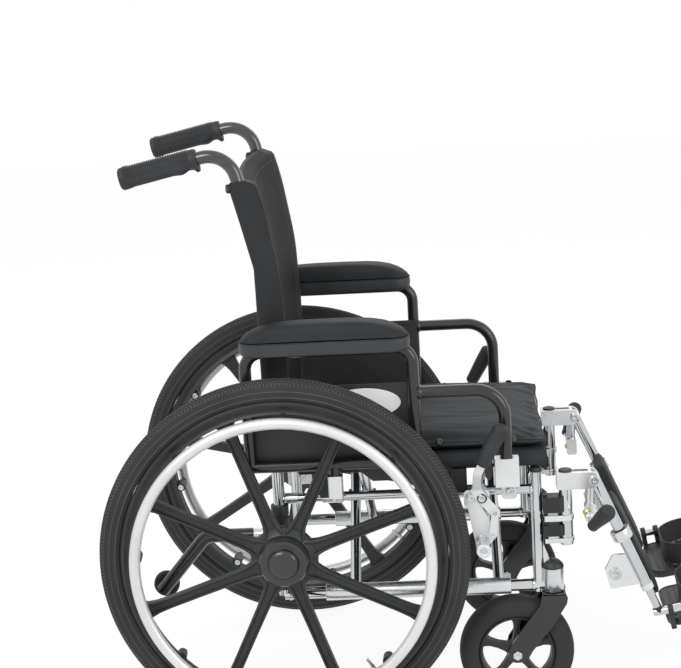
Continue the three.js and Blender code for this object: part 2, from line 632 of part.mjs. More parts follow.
function armLock() {
  const pinEnd = FRONT_SOCKET.rear - GAP;
  return join(
    block(LOCK.rear, LOCK.front, LOCK.inboard, LOCK.outboard, LOCK.bottom, LOCK.top),
    bar(at(LOCK.front - SINK, ARM_Y, LOCK.pivotZ), at(pinEnd, ARM_Y, LOCK.pivotZ), LOCK.pin));
}

// Brake

function brakeLever() {
  const low = BRAKE.inboard + BRAKE.layer + GAP / 2;
  const high = low + BRAKE.layer - GAP;
  const middle = (low + high) / 2;
  const strap = (x0, z0, x1, z1) => bar2d(x0, z0, x1, z1, BRAKE_LEVER.half, low, high);
  const body = join(
    strap(BRAKE.leverX, BRAKE.boltZ, BRAKE_LEVER.bendX, BRAKE_LEVER.bendZ),
    strap(BRAKE.leverX, BRAKE.boltZ, BRAKE_LEVER.lowX, BRAKE_LEVER.lowZ),
    bar(at(BRAKE_LEVER.bendX, middle, BRAKE_LEVER.bendZ),
      at(BRAKE_LEVER.riseX, BRAKE_LEVER.outY, BRAKE_LEVER.riseZ), BRAKE_LEVER.half, BOLT_SIDES),
    bar(at(BRAKE_LEVER.riseX, BRAKE_LEVER.outY, BRAKE_LEVER.riseZ),
      at(BRAKE_LEVER.tipX, BRAKE_LEVER.outY, BRAKE_LEVER.tipZ), BRAKE_LEVER.grip),
    crossBar(BRAKE_LEVER.lowX, BRAKE_LEVER.lowZ, middle, high + BRAKE.layer, BRAKE_LEVER.hole));
  return cut(body, crossBar(BRAKE.leverX, BRAKE.boltZ, low - OVERRUN, high + OVERRUN,
    holeFor(BRAKE.bolt)));
}

// A round-ended strap between two points, of a half width, between y planes.
function bar2d(x0, z0, x1, z1, half, y0, y1) {
  const along = new THREE.Vector2(x1 - x0, z1 - z0).normalize().multiplyScalar(half);
  return join(
    plate([
      [x0 + along.y, z0 - along.x], [x1 + along.y, z1 - along.x],
      [x1 - along.y, z1 + along.x], [x0 - along.y, z0 + along.x],
    ], y0, y1),
    crossBar(x0, z0, y0, y1, half),
    crossBar(x1, z1, y0, y1, half));
}

function brakeLink() {
  const low = BRAKE.inboard + 2 * BRAKE.layer + GAP / 2;
  const high = low + BRAKE.layer - GAP;
  return cut(
    bar2d(BRAKE_LEVER.lowX, BRAKE_LEVER.lowZ, BRAKE_SHOE.pinX, BRAKE_SHOE.pinZ,
      BRAKE_LINK_HALF, low, high),
    crossBar(BRAKE_LEVER.lowX, BRAKE_LEVER.lowZ, low - OVERRUN, high + OVERRUN,
      holeFor(BRAKE_LEVER.hole)));
}

function brakeShoe() {
  const low = BRAKE.inboard;
  const high = low + BRAKE.layer - GAP;
  const linkFace = BRAKE.inboard + 2 * BRAKE.layer - GAP / 2;
  const arm = (x, z) => bar2d(BRAKE.shoeX, BRAKE.boltZ, x, z, BRAKE_LEVER.half, low, high);
  const body = join(
    arm(BRAKE_SHOE.x, BRAKE_SHOE.z),
    arm(BRAKE_SHOE.pinX, BRAKE_SHOE.pinZ),
    bar2d(BRAKE_SHOE.x, BRAKE_SHOE.z, BRAKE_SHOE.pinX, BRAKE_SHOE.pinZ, BRAKE_LEVER.half, low, high),
    crossBar(BRAKE_SHOE.pinX, BRAKE_SHOE.pinZ, low, linkFace, BRAKE_SHOE.boss),
    crossBar(BRAKE_SHOE.x, BRAKE_SHOE.z, low, BRAKE_SHOE.outboard, BRAKE_SHOE.radius));
  return cut(body, crossBar(BRAKE.shoeX, BRAKE.boltZ, low - OVERRUN, high + OVERRUN,
    holeFor(BRAKE.bolt)));
}

// Caster

function casterFork() {
  const y = FRAME_Y;
  const inner = CASTER.width / 2 + FORK.sideGap;
  const outer = inner + FORK.wall;
  const crownTop = HOUSING.bottom - RUN_GAP;
  const crownBottom = crownTop - FORK.crownThick;
  const x = HOUSING.x;
  const axleX = CASTER.x;
  const axleZ = CASTER.radius;
  const leg = (y0, y1) => plate([
    [x - FORK.neckHalf, crownTop], [x + FORK.neckHalf, crownTop], [x + FORK.neckHalf, crownBottom - SINK],
    [axleX + FORK.hubReach, axleZ - FORK.hubReach / 2], [axleX, axleZ - FORK.hubReach],
    [axleX - FORK.hubReach, axleZ - FORK.hubReach / 2], [axleX - FORK.hubReach, axleZ + FORK.hubReach],
  ], y0, y1);
  return join(
    leg(y + inner, y + outer),
    leg(y - outer, y - inner),
    block(x - FORK.crownHalf, x + FORK.crownHalf, y - outer, y + outer, crownBottom, crownTop),
    bar(at(x, y, crownBottom), at(x, y, STEM.top), STEM.radius),
    crossBar(axleX, axleZ, y - outer, y + outer, CASTER_AXLE.radius),
    crossBar(axleX, axleZ, y + outer, y + outer + CASTER_AXLE.headHeight, CASTER_AXLE.head, BOLT_SIDES),
    crossBar(axleX, axleZ, y - outer - CASTER_AXLE.headHeight, y - outer, CASTER_AXLE.head, BOLT_SIDES));
}

function casterWheel() {
  const half = CASTER.width / 2;
  const sides = CASTER_SIDES;
  const outer = CASTER.radius / Math.cos(Math.PI / sides);
  const bore = holeFor(CASTER_AXLE.radius, sides);
  const hub = CASTER.hubWidth / 2;
  const web = CASTER.web / 2;
  const wheel = turned([
    [bore, -hub], [CASTER.hub, -web], [CASTER.rim, -web], [CASTER.rim, -half],
    [outer - CASTER.crown, -half], [outer, -half / 2], [outer, half / 2],
    [outer - CASTER.crown, half], [CASTER.rim, half], [CASTER.rim, web], [CASTER.hub, web],
    [bore, hub],
  ], sides);
  const hole = () => crossBar(CASTER_HOLE.at, 0, -half, half, CASTER_HOLE.radius, BOLT_SIDES);
  return cut(wheel, ...spun(hole, CASTER_HOLE.count, 0)).translate([CASTER.x, FRAME_Y, CASTER.radius]);
}

// Legrest

function hingeSaddle() {
  const y = FRAME_Y;
  const middle = (SADDLE.rear + SADDLE.front) / 2;
  const split = (SADDLE.bottom + SADDLE.top) / 2;
  const wide = SADDLE.halfWidth;
  const strap = (z) => bar(at(POST.frontX, y, z), at(POST.frontX, y, z + SADDLE.strapHeight),
    SADDLE.strapRadius);
  const window = (z) => block(middle - SADDLE.window / 2, middle + SADDLE.window / 2,
    y - wide - OVERRUN, y + wide + OVERRUN, z - SADDLE.windowHeight / 2, z + SADDLE.windowHeight / 2);
  const lowMiddle = (SADDLE.bottom + split) / 2;
  const highMiddle = (split + SADDLE.top) / 2;
  const body = join(
    block(SADDLE.rear, SADDLE.front, y - wide, y + wide, SADDLE.bottom, SADDLE.top),
    strap(lowMiddle), strap(highMiddle));
  return cut(body,
    bar(at(POST.frontX, y, SADDLE.bottom - OVERRUN), at(POST.frontX, y, SADDLE.top + OVERRUN),
      holeFor(POST.frontRadius)),
    bar(at(HANGER.x, y, SADDLE.bottom - OVERRUN), at(HANGER.x, y, SADDLE.top + OVERRUN),
      holeFor(HANGER.radius)),
    block(SADDLE.rear - OVERRUN, SADDLE.front + OVERRUN, y + wide / 2, y + wide + OVERRUN,
      split - SADDLE.slit / 2, split + SADDLE.slit / 2),
    block(SADDLE.rear - OVERRUN, SADDLE.front + OVERRUN, y - wide - OVERRUN, y - wide / 2,
      split - SADDLE.slit / 2, split + SADDLE.slit / 2),
    window(lowMiddle), window(highMiddle));
}

function hanger() {
  const y = FRAME_Y;
  const wide = BRACKET.halfWidth;
  const inside = wide - BRACKET.wall;
  const body = block(BRACKET.rear, BRACKET.front, y - wide, y + wide, BRACKET.bottom, BRACKET.top);
  const channel = block(BRACKET.rear + BRACKET.wall, BRACKET.front + OVERRUN, y - inside, y + inside,
    BRACKET.bottom - OVERRUN, BRACKET.top - BRACKET.wall);
  const slot = block(BRACKET.slotRear, BRACKET.slotFront, y - BRACKET.slotHalf,
    y + BRACKET.slotHalf, BRACKET.top - BRACKET.wall - OVERRUN, BRACKET.top + OVERRUN);
  const outer = y + wide;
  const inner = y - wide;
  return join(
    cut(body, channel, slot),
    bar(at(HANGER.x, y, HANGER.bottom), at(HANGER.x, y, BRACKET.top - BRACKET.wall / 2), HANGER.radius),
    crossBar(LEG_BOLT.x, LEG_BOLT.z, inner, outer, LEG_BOLT.radius),
    crossBar(LEG_BOLT.x, LEG_BOLT.z, outer - GAP, outer + LEG_BOLT.headHeight, LEG_BOLT.head, BOLT_SIDES),
    crossBar(LEG_BOLT.x, LEG_BOLT.z, inner - LEG_BOLT.headHeight, inner + GAP, LEG_BOLT.head, BOLT_SIDES));
}

const LEG_TILT = Math.asin(LEG.sine);
const legPoint = (t, ahead, y) => at(
  LEG_BOLT.x + t * LEG.sine + ahead * Math.cos(LEG_TILT), y,
  LEG_BOLT.z - t * Math.cos(LEG_TILT) + ahead * LEG.sine);

// Turns a piece drawn hanging straight down from the bolt into the leg's line.
const ontoLeg = (solid) => solid
  .rotate([0, (-LEG_TILT * 180) / Math.PI, 0])
  .translate([LEG_BOLT.x, FRAME_Y, LEG_BOLT.z]);

function legTube() {
  const half = LEG.width / 2;
  const deep = LEG.halfDepth;
  const rail = ontoLeg(join(
    block(-half, half, -deep, deep, -LEG.length, 0),
    crossBar(0, 0, -deep, deep, LEG.boss)));
  const plateInner = FRAME_Y + deep - SINK;
  const body = join(rail,
    bar(at(RATCHET.topX, FRAME_Y, RATCHET.topZ), at(RATCHET.lowX, FRAME_Y, RATCHET.lowZ),
      RATCHET.radius),
    block(LATCH_LUG.rear, LATCH_LUG.front, FRAME_Y - deep, LATCH_LUG.outboard,
      LATCH_LUG.bottom, LATCH_LUG.top),
    plate([
      [LEG_PLATE.rear, LEG_PLATE.rearZ], [LEG_PLATE.bottomRear, LEG_PLATE.bottom],
      [LEG_PLATE.front, LEG_PLATE.frontZ], [LEG_PLATE.topFront, LEG_PLATE.top],
      [LEG_PLATE.topRear, LEG_PLATE.top],
    ], plateInner, LEG_PLATE.outboard),
    crossBar(LEG_PLATE.boltX, LEG_PLATE.boltZ, LEG_PLATE.outboard - SINK,
      LEG_PLATE.outboard + LEG_PLATE.boltHeight, LEG_PLATE.bolt, BOLT_SIDES));
  return cut(body,
    crossBar(LEG_BOLT.x, LEG_BOLT.z, FRAME_Y - deep - OVERRUN, FRAME_Y + deep + OVERRUN,
      holeFor(LEG_BOLT.radius)),
    bar(legPoint(FOOT_TUBE.start - OVERRUN, 0, FRAME_Y), legPoint(LEG.length + OVERRUN, 0, FRAME_Y),
      holeFor(FOOT_TUBE.radius)));
}

function releaseLever() {
  const start = LATCH_LUG.outboard + GAP;
  return join(
    crossBar(RELEASE.x, RELEASE.z, start, start + RELEASE_HUB_LENGTH, RELEASE.hub),
    tube([
      at(RELEASE.x, start + RELEASE.hub, RELEASE.z), at(RELEASE.x, RELEASE.bendY, RELEASE.z),
      at(RELEASE_GRIP.nearX, RELEASE_GRIP.nearY, RELEASE_GRIP.nearZ),
      at(mix(RELEASE_GRIP.nearX, RELEASE_GRIP.farX, 0.5), mix(RELEASE_GRIP.nearY, RELEASE_GRIP.farY, 0.5),
        mix(RELEASE_GRIP.nearZ, RELEASE_GRIP.farZ, 0.5)),
    ], RELEASE.rod, BOLT_SIDES),
    bar(at(RELEASE_GRIP.nearX, RELEASE_GRIP.nearY, RELEASE_GRIP.nearZ),
      at(RELEASE_GRIP.farX, RELEASE_GRIP.farY, RELEASE_GRIP.farZ), RELEASE_GRIP.radius));
}

function calfPad() {
  const shares = CALF_SHARES;
  const pad = softBlock(CALF_GRID, (a, b, c) => {
    const across = mix(CALF.inboard, CALF.outboard, (b + 1) / 2) - FRAME_Y;
    const bulge = 1 - shares.sideThin * Math.abs(b) ** 4 - shares.endThin * Math.abs(c) ** 6;
    const round = 1 - shares.corner * Math.abs(b) ** 4;
    return {
      x: CALF.ahead + (a * CALF.thick * bulge) / 2,
      y: across,
      z: mix(-CALF.end, -CALF.start, (c * round + 1) / 2),
    };
  });
  const top = -CALF_SLEEVE.start;
  const low = top - CALF_SLEEVE.length;
  const middle = (top + low) / 2;
  const reach = CALF.outboard - FRAME_Y - SINK - CALF_SLEEVE.arm;
  const sleeve = join(
    bar(at(0, 0, low), at(0, 0, top), CALF_SLEEVE.outer),
    bar(at(0, -CALF_SLEEVE.inner, middle), at(CALF.ahead, reach, middle), CALF_SLEEVE.arm, BOLT_SIDES));
  const hole = bar(at(0, 0, low - OVERRUN), at(0, 0, top + OVERRUN), holeFor(CALF_SLEEVE.inner));
  return ontoLeg(join(pad, cut(sleeve, hole)));
}

const FOOT_PITCH = (FOOT_ROD.pitch * Math.PI) / 180;

// Places a piece drawn level about the foot rod's axis onto the pitched rod.
const ontoRod = (solid) => solid
  .rotate([0, -FOOT_ROD.pitch, 0])
  .translate([FOOT_ROD.x, FRAME_Y, FOOT_ROD.z]);

function footrestTube() {
  return join(
    bar(legPoint(FOOT_TUBE.start, 0, FRAME_Y), legPoint(FOOT_TUBE.end, 0, FRAME_Y), FOOT_TUBE.radius),
    ontoRod(bar(at(-FOOT_ROD.back, 0, 0), at(FOOT_ROD.length, 0, 0), FOOT_ROD.radius)));
}

function footplate() {
  const y0 = PLATE.inboard - FRAME_Y;
  const y1 = PLATE.outboard - FRAME_Y;
  const r = PLATE.corner;
  const cuts = 2;
  const corner = (cx, cy, from) => {
    const points = [];
    for (let i = 0; i <= cuts; i += 1) {
      const turn = from + (Math.PI / 2) * (i / cuts);
      points.push(new THREE.Vector2(cx + r * Math.cos(turn), cy + r * Math.sin(turn)));
    }
    return points;
  };
  const outline = new THREE.Shape([
    ...corner(PLATE.front - r, y1 - r, 0),
    ...corner(PLATE.rear + r, y1 - r, Math.PI / 2),
    ...corner(PLATE.rear + r, y0 + r, Math.PI),
    ...corner(PLATE.front - r, y0 + r, 1.5 * Math.PI),
  ]);
  const slabGeometry = new THREE.ExtrudeGeometry(outline, { depth: PLATE.thick, bevelEnabled: false });
  slabGeometry.translate(0, 0, -PLATE.top - PLATE.thick);
  const lugInner = PLATE_LUG.inboard - FRAME_Y;
  const lugOuter = PLATE_LUG.outboard - FRAME_Y;
  const lug = (x) => join(
    block(x, x + PLATE_LUG.length, lugInner, lugOuter, -PLATE.top - PLATE.thick, 0),
    bar(at(x, 0, 0), at(x + PLATE_LUG.length, 0, 0), PLATE_LUG.radius));
  const first = PLATE.rear + SINK;
  const hole = bar(at(-OVERRUN, 0, 0), at(FOOT_ROD.length + OVERRUN, 0, 0), holeFor(FOOT_ROD.radius));
  return ontoRod(cut(join(solidOf(slabGeometry), lug(first), lug(first + PLATE_LUG.spacing)), hole));
}

function heelLoop() {
  const y0 = HEEL.inboard - FRAME_Y;
  const y1 = HEEL.outboard - FRAME_Y;
  const centre = rounded([
    at(HEEL.front, y1, 0), at(HEEL.rear, y1, 0), at(HEEL.rear, y0, 0), at(HEEL.front, y0, 0),
  ], HEEL.bend);
  const sideOf = (sign) => centre.map((point, i) => {
    const before = centre[Math.max(i - 1, 0)];
    const after = centre[Math.min(i + 1, centre.length - 1)];
    const along = after.clone().sub(before).normalize();
    const step = (sign * HEEL.thick) / 2;
    return new THREE.Vector2(point.x - along.y * step, point.y + along.x * step);
  });
  const shape = new THREE.Shape([...sideOf(1), ...sideOf(-1).reverse()]);
  const band = new THREE.ExtrudeGeometry(shape, { depth: HEEL.height, bevelEnabled: false });
  band.translate(0, 0, -PLATE.top + GAP);
  return ontoRod(solidOf(band));
}

// Anti-tip

function antitipTube() {
  const y = FRAME_Y;
  const start = TIP_SOCKET.rear - GAP;
  const leg = at(TIP_TUBE.endX, y, TIP_TUBE.endZ);
  const bend = at(TIP_TUBE.straight - TIP_TUBE.bend / 2, y, TIP_SOCKET.z);
  const button = bend.clone().lerp(leg, TIP_BUTTON.share);
  const reach = TIP_TUBE.radius + TIP_BUTTON.height;
  return join(
    tube(rounded([at(start, y, TIP_SOCKET.z), bend, leg], TIP_TUBE.bend), TIP_TUBE.radius),
    bar(at(TIP_TUBE.spigotEnd, y, TIP_SOCKET.z), at(start - SINK, y, TIP_SOCKET.z), TIP_TUBE.spigot),
    crossBar(button.x, button.z, y, y + reach, TIP_BUTTON.radius, BOLT_SIDES),
    crossBar(TIP_WHEEL.x, TIP_WHEEL.z, TIP_WHEEL.inboard - SINK, y, TIP_WHEEL.axle));
}

function antitipWheel() {
  const bore = holeFor(TIP_WHEEL.axle);
  const inset = TIP_WHEEL.rimInset;
  const shoulder = TIP_WHEEL.radius - inset;
  return turned([
    [bore, TIP_WHEEL.inboard], [shoulder, TIP_WHEEL.inboard],
    [TIP_WHEEL.radius, TIP_WHEEL.inboard + inset],
    [TIP_WHEEL.radius, TIP_WHEEL.outboard - inset],
    [shoulder, TIP_WHEEL.outboard], [bore, TIP_WHEEL.outboard],
  ], ROUND_SIDES).translate([TIP_WHEEL.x, 0, TIP_WHEEL.z]);
}

// Seat

const braceMiddleZ = (RAIL.lowerZ + SEAT_RAIL.z) / 2;

// One half of the cross brace; lowSide is the y sign of its lower end.
function crossBrace(lowSide, shift, carriesBolts) {
  const yLow = lowSide * FRAME_Y;
  const yHigh = -yLow;
  const xs = [BRACE.rearX + shift, BRACE.frontX - shift];
  const diagonals = xs.map((x) => bar(at(x, yLow, RAIL.lowerZ), at(x, yHigh, SEAT_RAIL.z), BRACE.radius));
  const bolts = xs.map((x, i) => {
    const inward = i === 0 ? 1 : -1;
    return bar(at(x - inward * BRACE.radius, 0, braceMiddleZ),
      at(x + inward * BRACE.boltEnd, 0, braceMiddleZ), BRACE.bolt);
  });
  const sleeve = bar(at(BRACE.sleeveRear, yLow, RAIL.lowerZ), at(BRACE.sleeveFront, yLow, RAIL.lowerZ),
    BRACE.sleeve);
  const rail = bar(at(SEAT_RAIL.rear, yHigh, SEAT_RAIL.z), at(SEAT_RAIL.front, yHigh, SEAT_RAIL.z),
    SEAT_RAIL.radius);
  const body = join(...diagonals, sleeve, rail, ...(carriesBolts ? bolts : []));
  const bore = bar(at(BRACE.sleeveRear - OVERRUN, yLow, RAIL.lowerZ),
    at(BRACE.sleeveFront + OVERRUN, yLow, RAIL.lowerZ), holeFor(RAIL.lowerRadius));
  if (carriesBolts) return cut(body, bore);
  const holes = xs.map((x) => bar(
    at(x - BRACE.radius - OVERRUN, 0, braceMiddleZ), at(x + BRACE.radius + OVERRUN, 0, braceMiddleZ),
    holeFor(BRACE.bolt)));
  return cut(body, bore, ...holes);
}

function seatSling() {
  const bottom = SLING.top - SLING.thick;
  const panel = block(SLING.rear, SLING.front, -FRAME_Y, FRAME_Y, bottom, SLING.top);
  const wrap = (side) => bar(at(SLING.rear, side * FRAME_Y, SEAT_RAIL.z),
    at(SLING.front, side * FRAME_Y, SEAT_RAIL.z), SLING.wrap);
  const hollow = (side) => bar(at(SLING.rear - OVERRUN, side * FRAME_Y, SEAT_RAIL.z),
    at(SLING.front + OVERRUN, side * FRAME_Y, SEAT_RAIL.z), holeFor(SEAT_RAIL.radius));
  const notch = (x, side) => {
    const inner = side * (FRAME_Y - SLING.wrap - OVERRUN);
    const outer = side * FRAME_Y;
    return block(x - SLING.notch, x + SLING.notch, Math.min(inner, outer), Math.max(inner, outer),
      SEAT_RAIL.z - SLING.wrap - OVERRUN, SEAT_RAIL.z + BRACE.radius / 2);
  };
  return cut(join(panel, wrap(1), wrap(-1)), hollow(1), hollow(-1),
    notch(BRACE.rearX, 1), notch(BRACE.frontX, 1),
    notch(BRACE.rearX + BRACE.step, -1), notch(BRACE.frontX - BRACE.step, -1));
}

function seatCushion() {
  return softBlock(CUSHION_GRID, (a, b, c) => {
    const inside = (1 - Math.abs(a) ** 10) * (1 - Math.abs(b) ** 6);
    const wave = CUSHION_WAVE * Math.cos(a * Math.PI * CUSHION_WAVE_COUNT) * inside;
    const high = mix(CUSHION.edge, CUSHION.crown, inside) + wave;
    const corner = Math.abs(b) ** 8;
    const drawnIn = CUSHION_PULL * (
      CUSHION_SHARES.seam * (1 - Math.abs(c)) * corner
      + CUSHION_SHARES.side * (1 - a * a) * corner
      + (c === 1 ? CUSHION_SHARES.tuck : 0));
    return {
      x: mix(CUSHION.rear, CUSHION.front, (a + 1) / 2),
      y: b * (CUSHION.halfWidth - drawnIn),
      z: mix(CUSHION.bottom, high, (c + 1) / 2),
    };
  });
}

// Assembly

const meshOf = (name, solid, look) => {
  const mesh = new THREE.Mesh(geometryOf(solid), look);
  mesh.name = name;
  return mesh;
};

function oneSide(suffix, wheelTurn) {
  const pieces = [
    ['side_frame', sideFrame(), SILVER],
    ['back_cane', backCane(), BLACK_TUBE],
    ['push_grip', pushGrip(), SOFT_GRIP],
    ['hinge_saddle', hingeSaddle(), SILVER],
    ['arm_socket_front', armSocketFront(), SILVER],
    ['arm_lock', armLock(), BLACK_PLASTIC],
    ['armrest_frame', armrestFrame(), BLACK_TUBE],
    ['arm_pad', armPad(), PAD_VINYL],
    ['skirt_guard', skirtGuard(), BLACK_PLASTIC],
    ['tyre', tyre(), TYRE_RUBBER],
    ['mag_wheel', magWheel(wheelTurn), BLACK_PLASTIC],
    ['handrim', handrim(wheelTurn), RIM_SILVER],
    ['hub_cap', hubCap(), BLACK_PLASTIC],
    ['caster_fork', casterFork(), BLACK_TUBE],
    ['caster_wheel', casterWheel(), TYRE_RUBBER],
    ['brake_lever', brakeLever(), SOFT_GRIP],
    ['brake_link', brakeLink(), SILVER],
    ['brake_shoe', brakeShoe(), WHITE_PLASTIC],
    ['hanger', hanger(), SILVER],
    ['leg_tube', legTube(), SILVER],
    ['release_lever', releaseLever(), SOFT_GRIP],
    ['calf_pad', calfPad(), PAD_VINYL],
    ['footrest_tube', footrestTube(), CHROME],
    ['footplate', footplate(), BLACK_PLASTIC],
    ['heel_loop', heelLoop(), VINYL],
  ];
  // Only the right rail carries an anti-tip wheel.
  if (suffix === 'right') {
    pieces.push(['antitip_tube', antitipTube(), BLACK_TUBE], ['antitip_wheel', antitipWheel(), TYRE_RUBBER]);
  }
  const side = new THREE.Group();
  side.name = `side_${suffix}`;
  for (const [name, solid, look] of pieces) side.add(meshOf(`${name}_${suffix}`, solid, look));
  return side;
}

function chair() {
  const root = new THREE.Group();
  root.name = 'wheelchair';
  const left = oneSide('left', WHEEL_TURNS.left);
  const right = oneSide('right', WHEEL_TURNS.right);
  right.scale.set(1, -1, 1);
  root.add(left, right);
  root.add(meshOf('cross_brace_a', crossBrace(-1, 0, true), SILVER));
  root.add(meshOf('cross_brace_b', crossBrace(1, BRACE.step, false), SILVER));
  root.add(meshOf('seat_sling', seatSling(), VINYL));
  root.add(meshOf('seat_cushion', seatCushion(), VINYL));
  root.add(meshOf('back_upholstery', backUpholstery(), VINYL));
  const box = new THREE.Box3().setFromObject(root);
  root.position.set(-(box.min.x + box.max.x) / 2, 0, -box.min.z);
  return root;
}

export default chair();
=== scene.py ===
import math

import bmesh
import bpy
from mathutils import Matrix, Vector, noise


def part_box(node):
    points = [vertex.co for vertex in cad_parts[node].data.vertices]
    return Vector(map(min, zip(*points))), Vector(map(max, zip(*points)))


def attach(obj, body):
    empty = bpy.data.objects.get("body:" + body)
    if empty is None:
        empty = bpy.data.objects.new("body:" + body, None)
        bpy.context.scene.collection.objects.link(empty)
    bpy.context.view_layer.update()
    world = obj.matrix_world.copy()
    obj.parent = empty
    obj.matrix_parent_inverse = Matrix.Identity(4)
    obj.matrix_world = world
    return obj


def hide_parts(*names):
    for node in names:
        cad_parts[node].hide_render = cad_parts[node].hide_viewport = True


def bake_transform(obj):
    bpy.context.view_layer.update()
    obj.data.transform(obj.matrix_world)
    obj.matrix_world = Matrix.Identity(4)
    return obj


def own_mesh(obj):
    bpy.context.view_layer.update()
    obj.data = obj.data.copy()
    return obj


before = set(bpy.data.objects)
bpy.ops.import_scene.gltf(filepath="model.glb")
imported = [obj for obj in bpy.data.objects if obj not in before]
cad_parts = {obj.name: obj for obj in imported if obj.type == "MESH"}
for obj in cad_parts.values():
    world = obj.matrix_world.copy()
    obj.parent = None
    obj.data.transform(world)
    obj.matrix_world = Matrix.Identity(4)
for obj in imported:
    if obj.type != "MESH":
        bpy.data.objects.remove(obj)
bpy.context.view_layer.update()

TAU = 2 * math.pi
AHEAD, OUT, UP = Vector((1, 0, 0)), Vector((0, 1, 0)), Vector((0, 0, 1))
low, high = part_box("tyre_right")
AXLE_X = (low.x + high.x) / 2  # where the rear axle stands along the row's X
MM = 0.001
RIGHT, MIDDLE, LEFT = -1, 0, 1  # the side that a piece is on, as the sign of its Y


# Materials


def nodes_of(name):
    material = bpy.data.materials.new(name)
    material.use_nodes = True
    tree = material.node_tree
    shader = next(n for n in tree.nodes if n.type == "BSDF_PRINCIPLED")
    place = tree.nodes.new("ShaderNodeTexCoord")
    return material, tree, shader, place.outputs["Object"]


def add(tree, kind, **values):
    node = tree.nodes.new(kind)
    for key, value in values.items():
        if key in node.inputs:
            node.inputs[key].default_value = value
        else:
            setattr(node, key, value)
    return node


def tint(tree, source, dark, light, low=0.3, high=0.7):
    ramp = tree.nodes.new("ShaderNodeValToRGB")
    ramp.color_ramp.elements[0].position = low
    ramp.color_ramp.elements[0].color = (*dark, 1)
    ramp.color_ramp.elements[1].position = high
    ramp.color_ramp.elements[1].color = (*light, 1)
    tree.links.new(source, ramp.inputs["Fac"])
    return ramp.outputs["Color"]


def span(tree, source, low, high):
    node = tree.nodes.new("ShaderNodeMapRange")
    node.inputs["To Min"].default_value = low
    node.inputs["To Max"].default_value = high
    tree.links.new(source, node.inputs["Value"])
    return node.outputs["Result"]


def surface(name, dark, light, rough, metal=0.0, coat=0.0, grain=(900, 0.15, 0.0002), patch=18,
            specular=0.5, weave=None):
    """A material with patchy colour, varied roughness and a fine bump."""
    material, tree, shader, coords = nodes_of(name)
    link = tree.links.new
    wide = add(tree, "ShaderNodeTexNoise", Scale=patch, Detail=4.0)
    link(coords, wide.inputs["Vector"])
    link(tint(tree, wide.outputs["Fac"], dark, light), shader.inputs["Base Color"])
    scale, strength, depth = grain
    fine = add(tree, "ShaderNodeTexNoise", Scale=scale, Detail=3.0)
    link(coords, fine.inputs["Vector"])
    mid = add(tree, "ShaderNodeTexNoise", Scale=patch * 4, Detail=5.0)
    link(coords, mid.inputs["Vector"])
    link(span(tree, mid.outputs["Fac"], *rough), shader.inputs["Roughness"])
    height = fine.outputs["Fac"]
    if weave:
        cells = add(tree, "ShaderNodeTexVoronoi", Scale=weave)
        link(coords, cells.inputs["Vector"])
        mixed = add(tree, "ShaderNodeMath", operation="ADD")
        link(cells.outputs["Distance"], mixed.inputs[0])
        link(fine.outputs["Fac"], mixed.inputs[1])
        height = mixed.outputs["Value"]
    bump = add(tree, "ShaderNodeBump", Strength=strength, Distance=depth)
    link(height, bump.inputs["Height"])
    link(bump.outputs["Normal"], shader.inputs["Normal"])
    shader.inputs["Metallic"].default_value = metal
    shader.inputs["Coat Weight"].default_value = coat
    shader.inputs["Coat Roughness"].default_value = 0.12
    shader.inputs["Specular IOR Level"].default_value = specular
    return material


CHROME = surface("chrome", (0.50, 0.52, 0.535), (0.64, 0.65, 0.66), (0.06, 0.15), 1.0,
                 grain=(500, 0.04, 0.0001), patch=9)
SILVER = surface("silver_zinc", (0.61, 0.63, 0.64), (0.77, 0.78, 0.79), (0.2, 0.34), 0.9,
                 grain=(1400, 0.08, 0.0001), patch=14)
SILVER_PAINT = surface("silver_paint", (0.66, 0.67, 0.68), (0.78, 0.79, 0.79), (0.26, 0.38), 0.5,
                       coat=0.2, grain=(2200, 0.08, 0.0001), patch=14)
RIM_METAL = surface("rim_anodised", (0.70, 0.71, 0.70), (0.80, 0.80, 0.79), (0.34, 0.46), 0.55,
                    grain=(2600, 0.08, 0.0001), patch=10)
BOLT = surface("zinc_bolt", (0.46, 0.50, 0.52), (0.66, 0.68, 0.68), (0.18, 0.34), 0.95,
               grain=(900, 0.1, 0.0001), patch=60)
BRASS = surface("yellow_zinc", (0.55, 0.47, 0.12), (0.72, 0.64, 0.24), (0.22, 0.4), 0.9,
                grain=(900, 0.1, 0.0001), patch=70)
BLACK_PAINT = surface("black_enamel", (0.009, 0.009, 0.009), (0.016, 0.016, 0.015), (0.2, 0.3),
                      coat=0.28, grain=(700, 0.05, 0.0001), patch=12)
BLACK_PLASTIC = surface("black_plastic", (0.014, 0.0155, 0.016), (0.024, 0.026, 0.027), (0.40, 0.55),
                        grain=(1500, 0.25, 0.0002), patch=16)
GUARD_PLASTIC = surface("guard_sheet", (0.022, 0.022, 0.022), (0.031, 0.031, 0.031), (0.5, 0.62),
                        grain=(1900, 0.25, 0.0002), patch=8)
TYRE_RUBBER = surface("tyre_rubber", (0.020, 0.0205, 0.0205), (0.033, 0.0335, 0.033), (0.6, 0.78),
                      grain=(800, 0.3, 0.0003), patch=10, specular=0.35)
# lighter rubber for the tread block tops and thin ridges: a painted highlight
TREAD_HIGHLIGHT = surface("tread_painted_highlight", (0.050, 0.051, 0.050), (0.08, 0.081, 0.08), (0.42, 0.56),
                    grain=(800, 0.3, 0.0003), patch=26)
CANE_PAINT = surface("gloss_enamel", (0.016, 0.016, 0.016), (0.028, 0.028, 0.027), (0.12, 0.2),
                     coat=0.9, grain=(700, 0.05, 0.0001), patch=12)
HUB_PLASTIC = surface("hub_gloss_plastic", (0.014, 0.0155, 0.016), (0.024, 0.026, 0.027), (0.2, 0.3),
                      coat=0.35, grain=(1500, 0.1, 0.0001), patch=16)
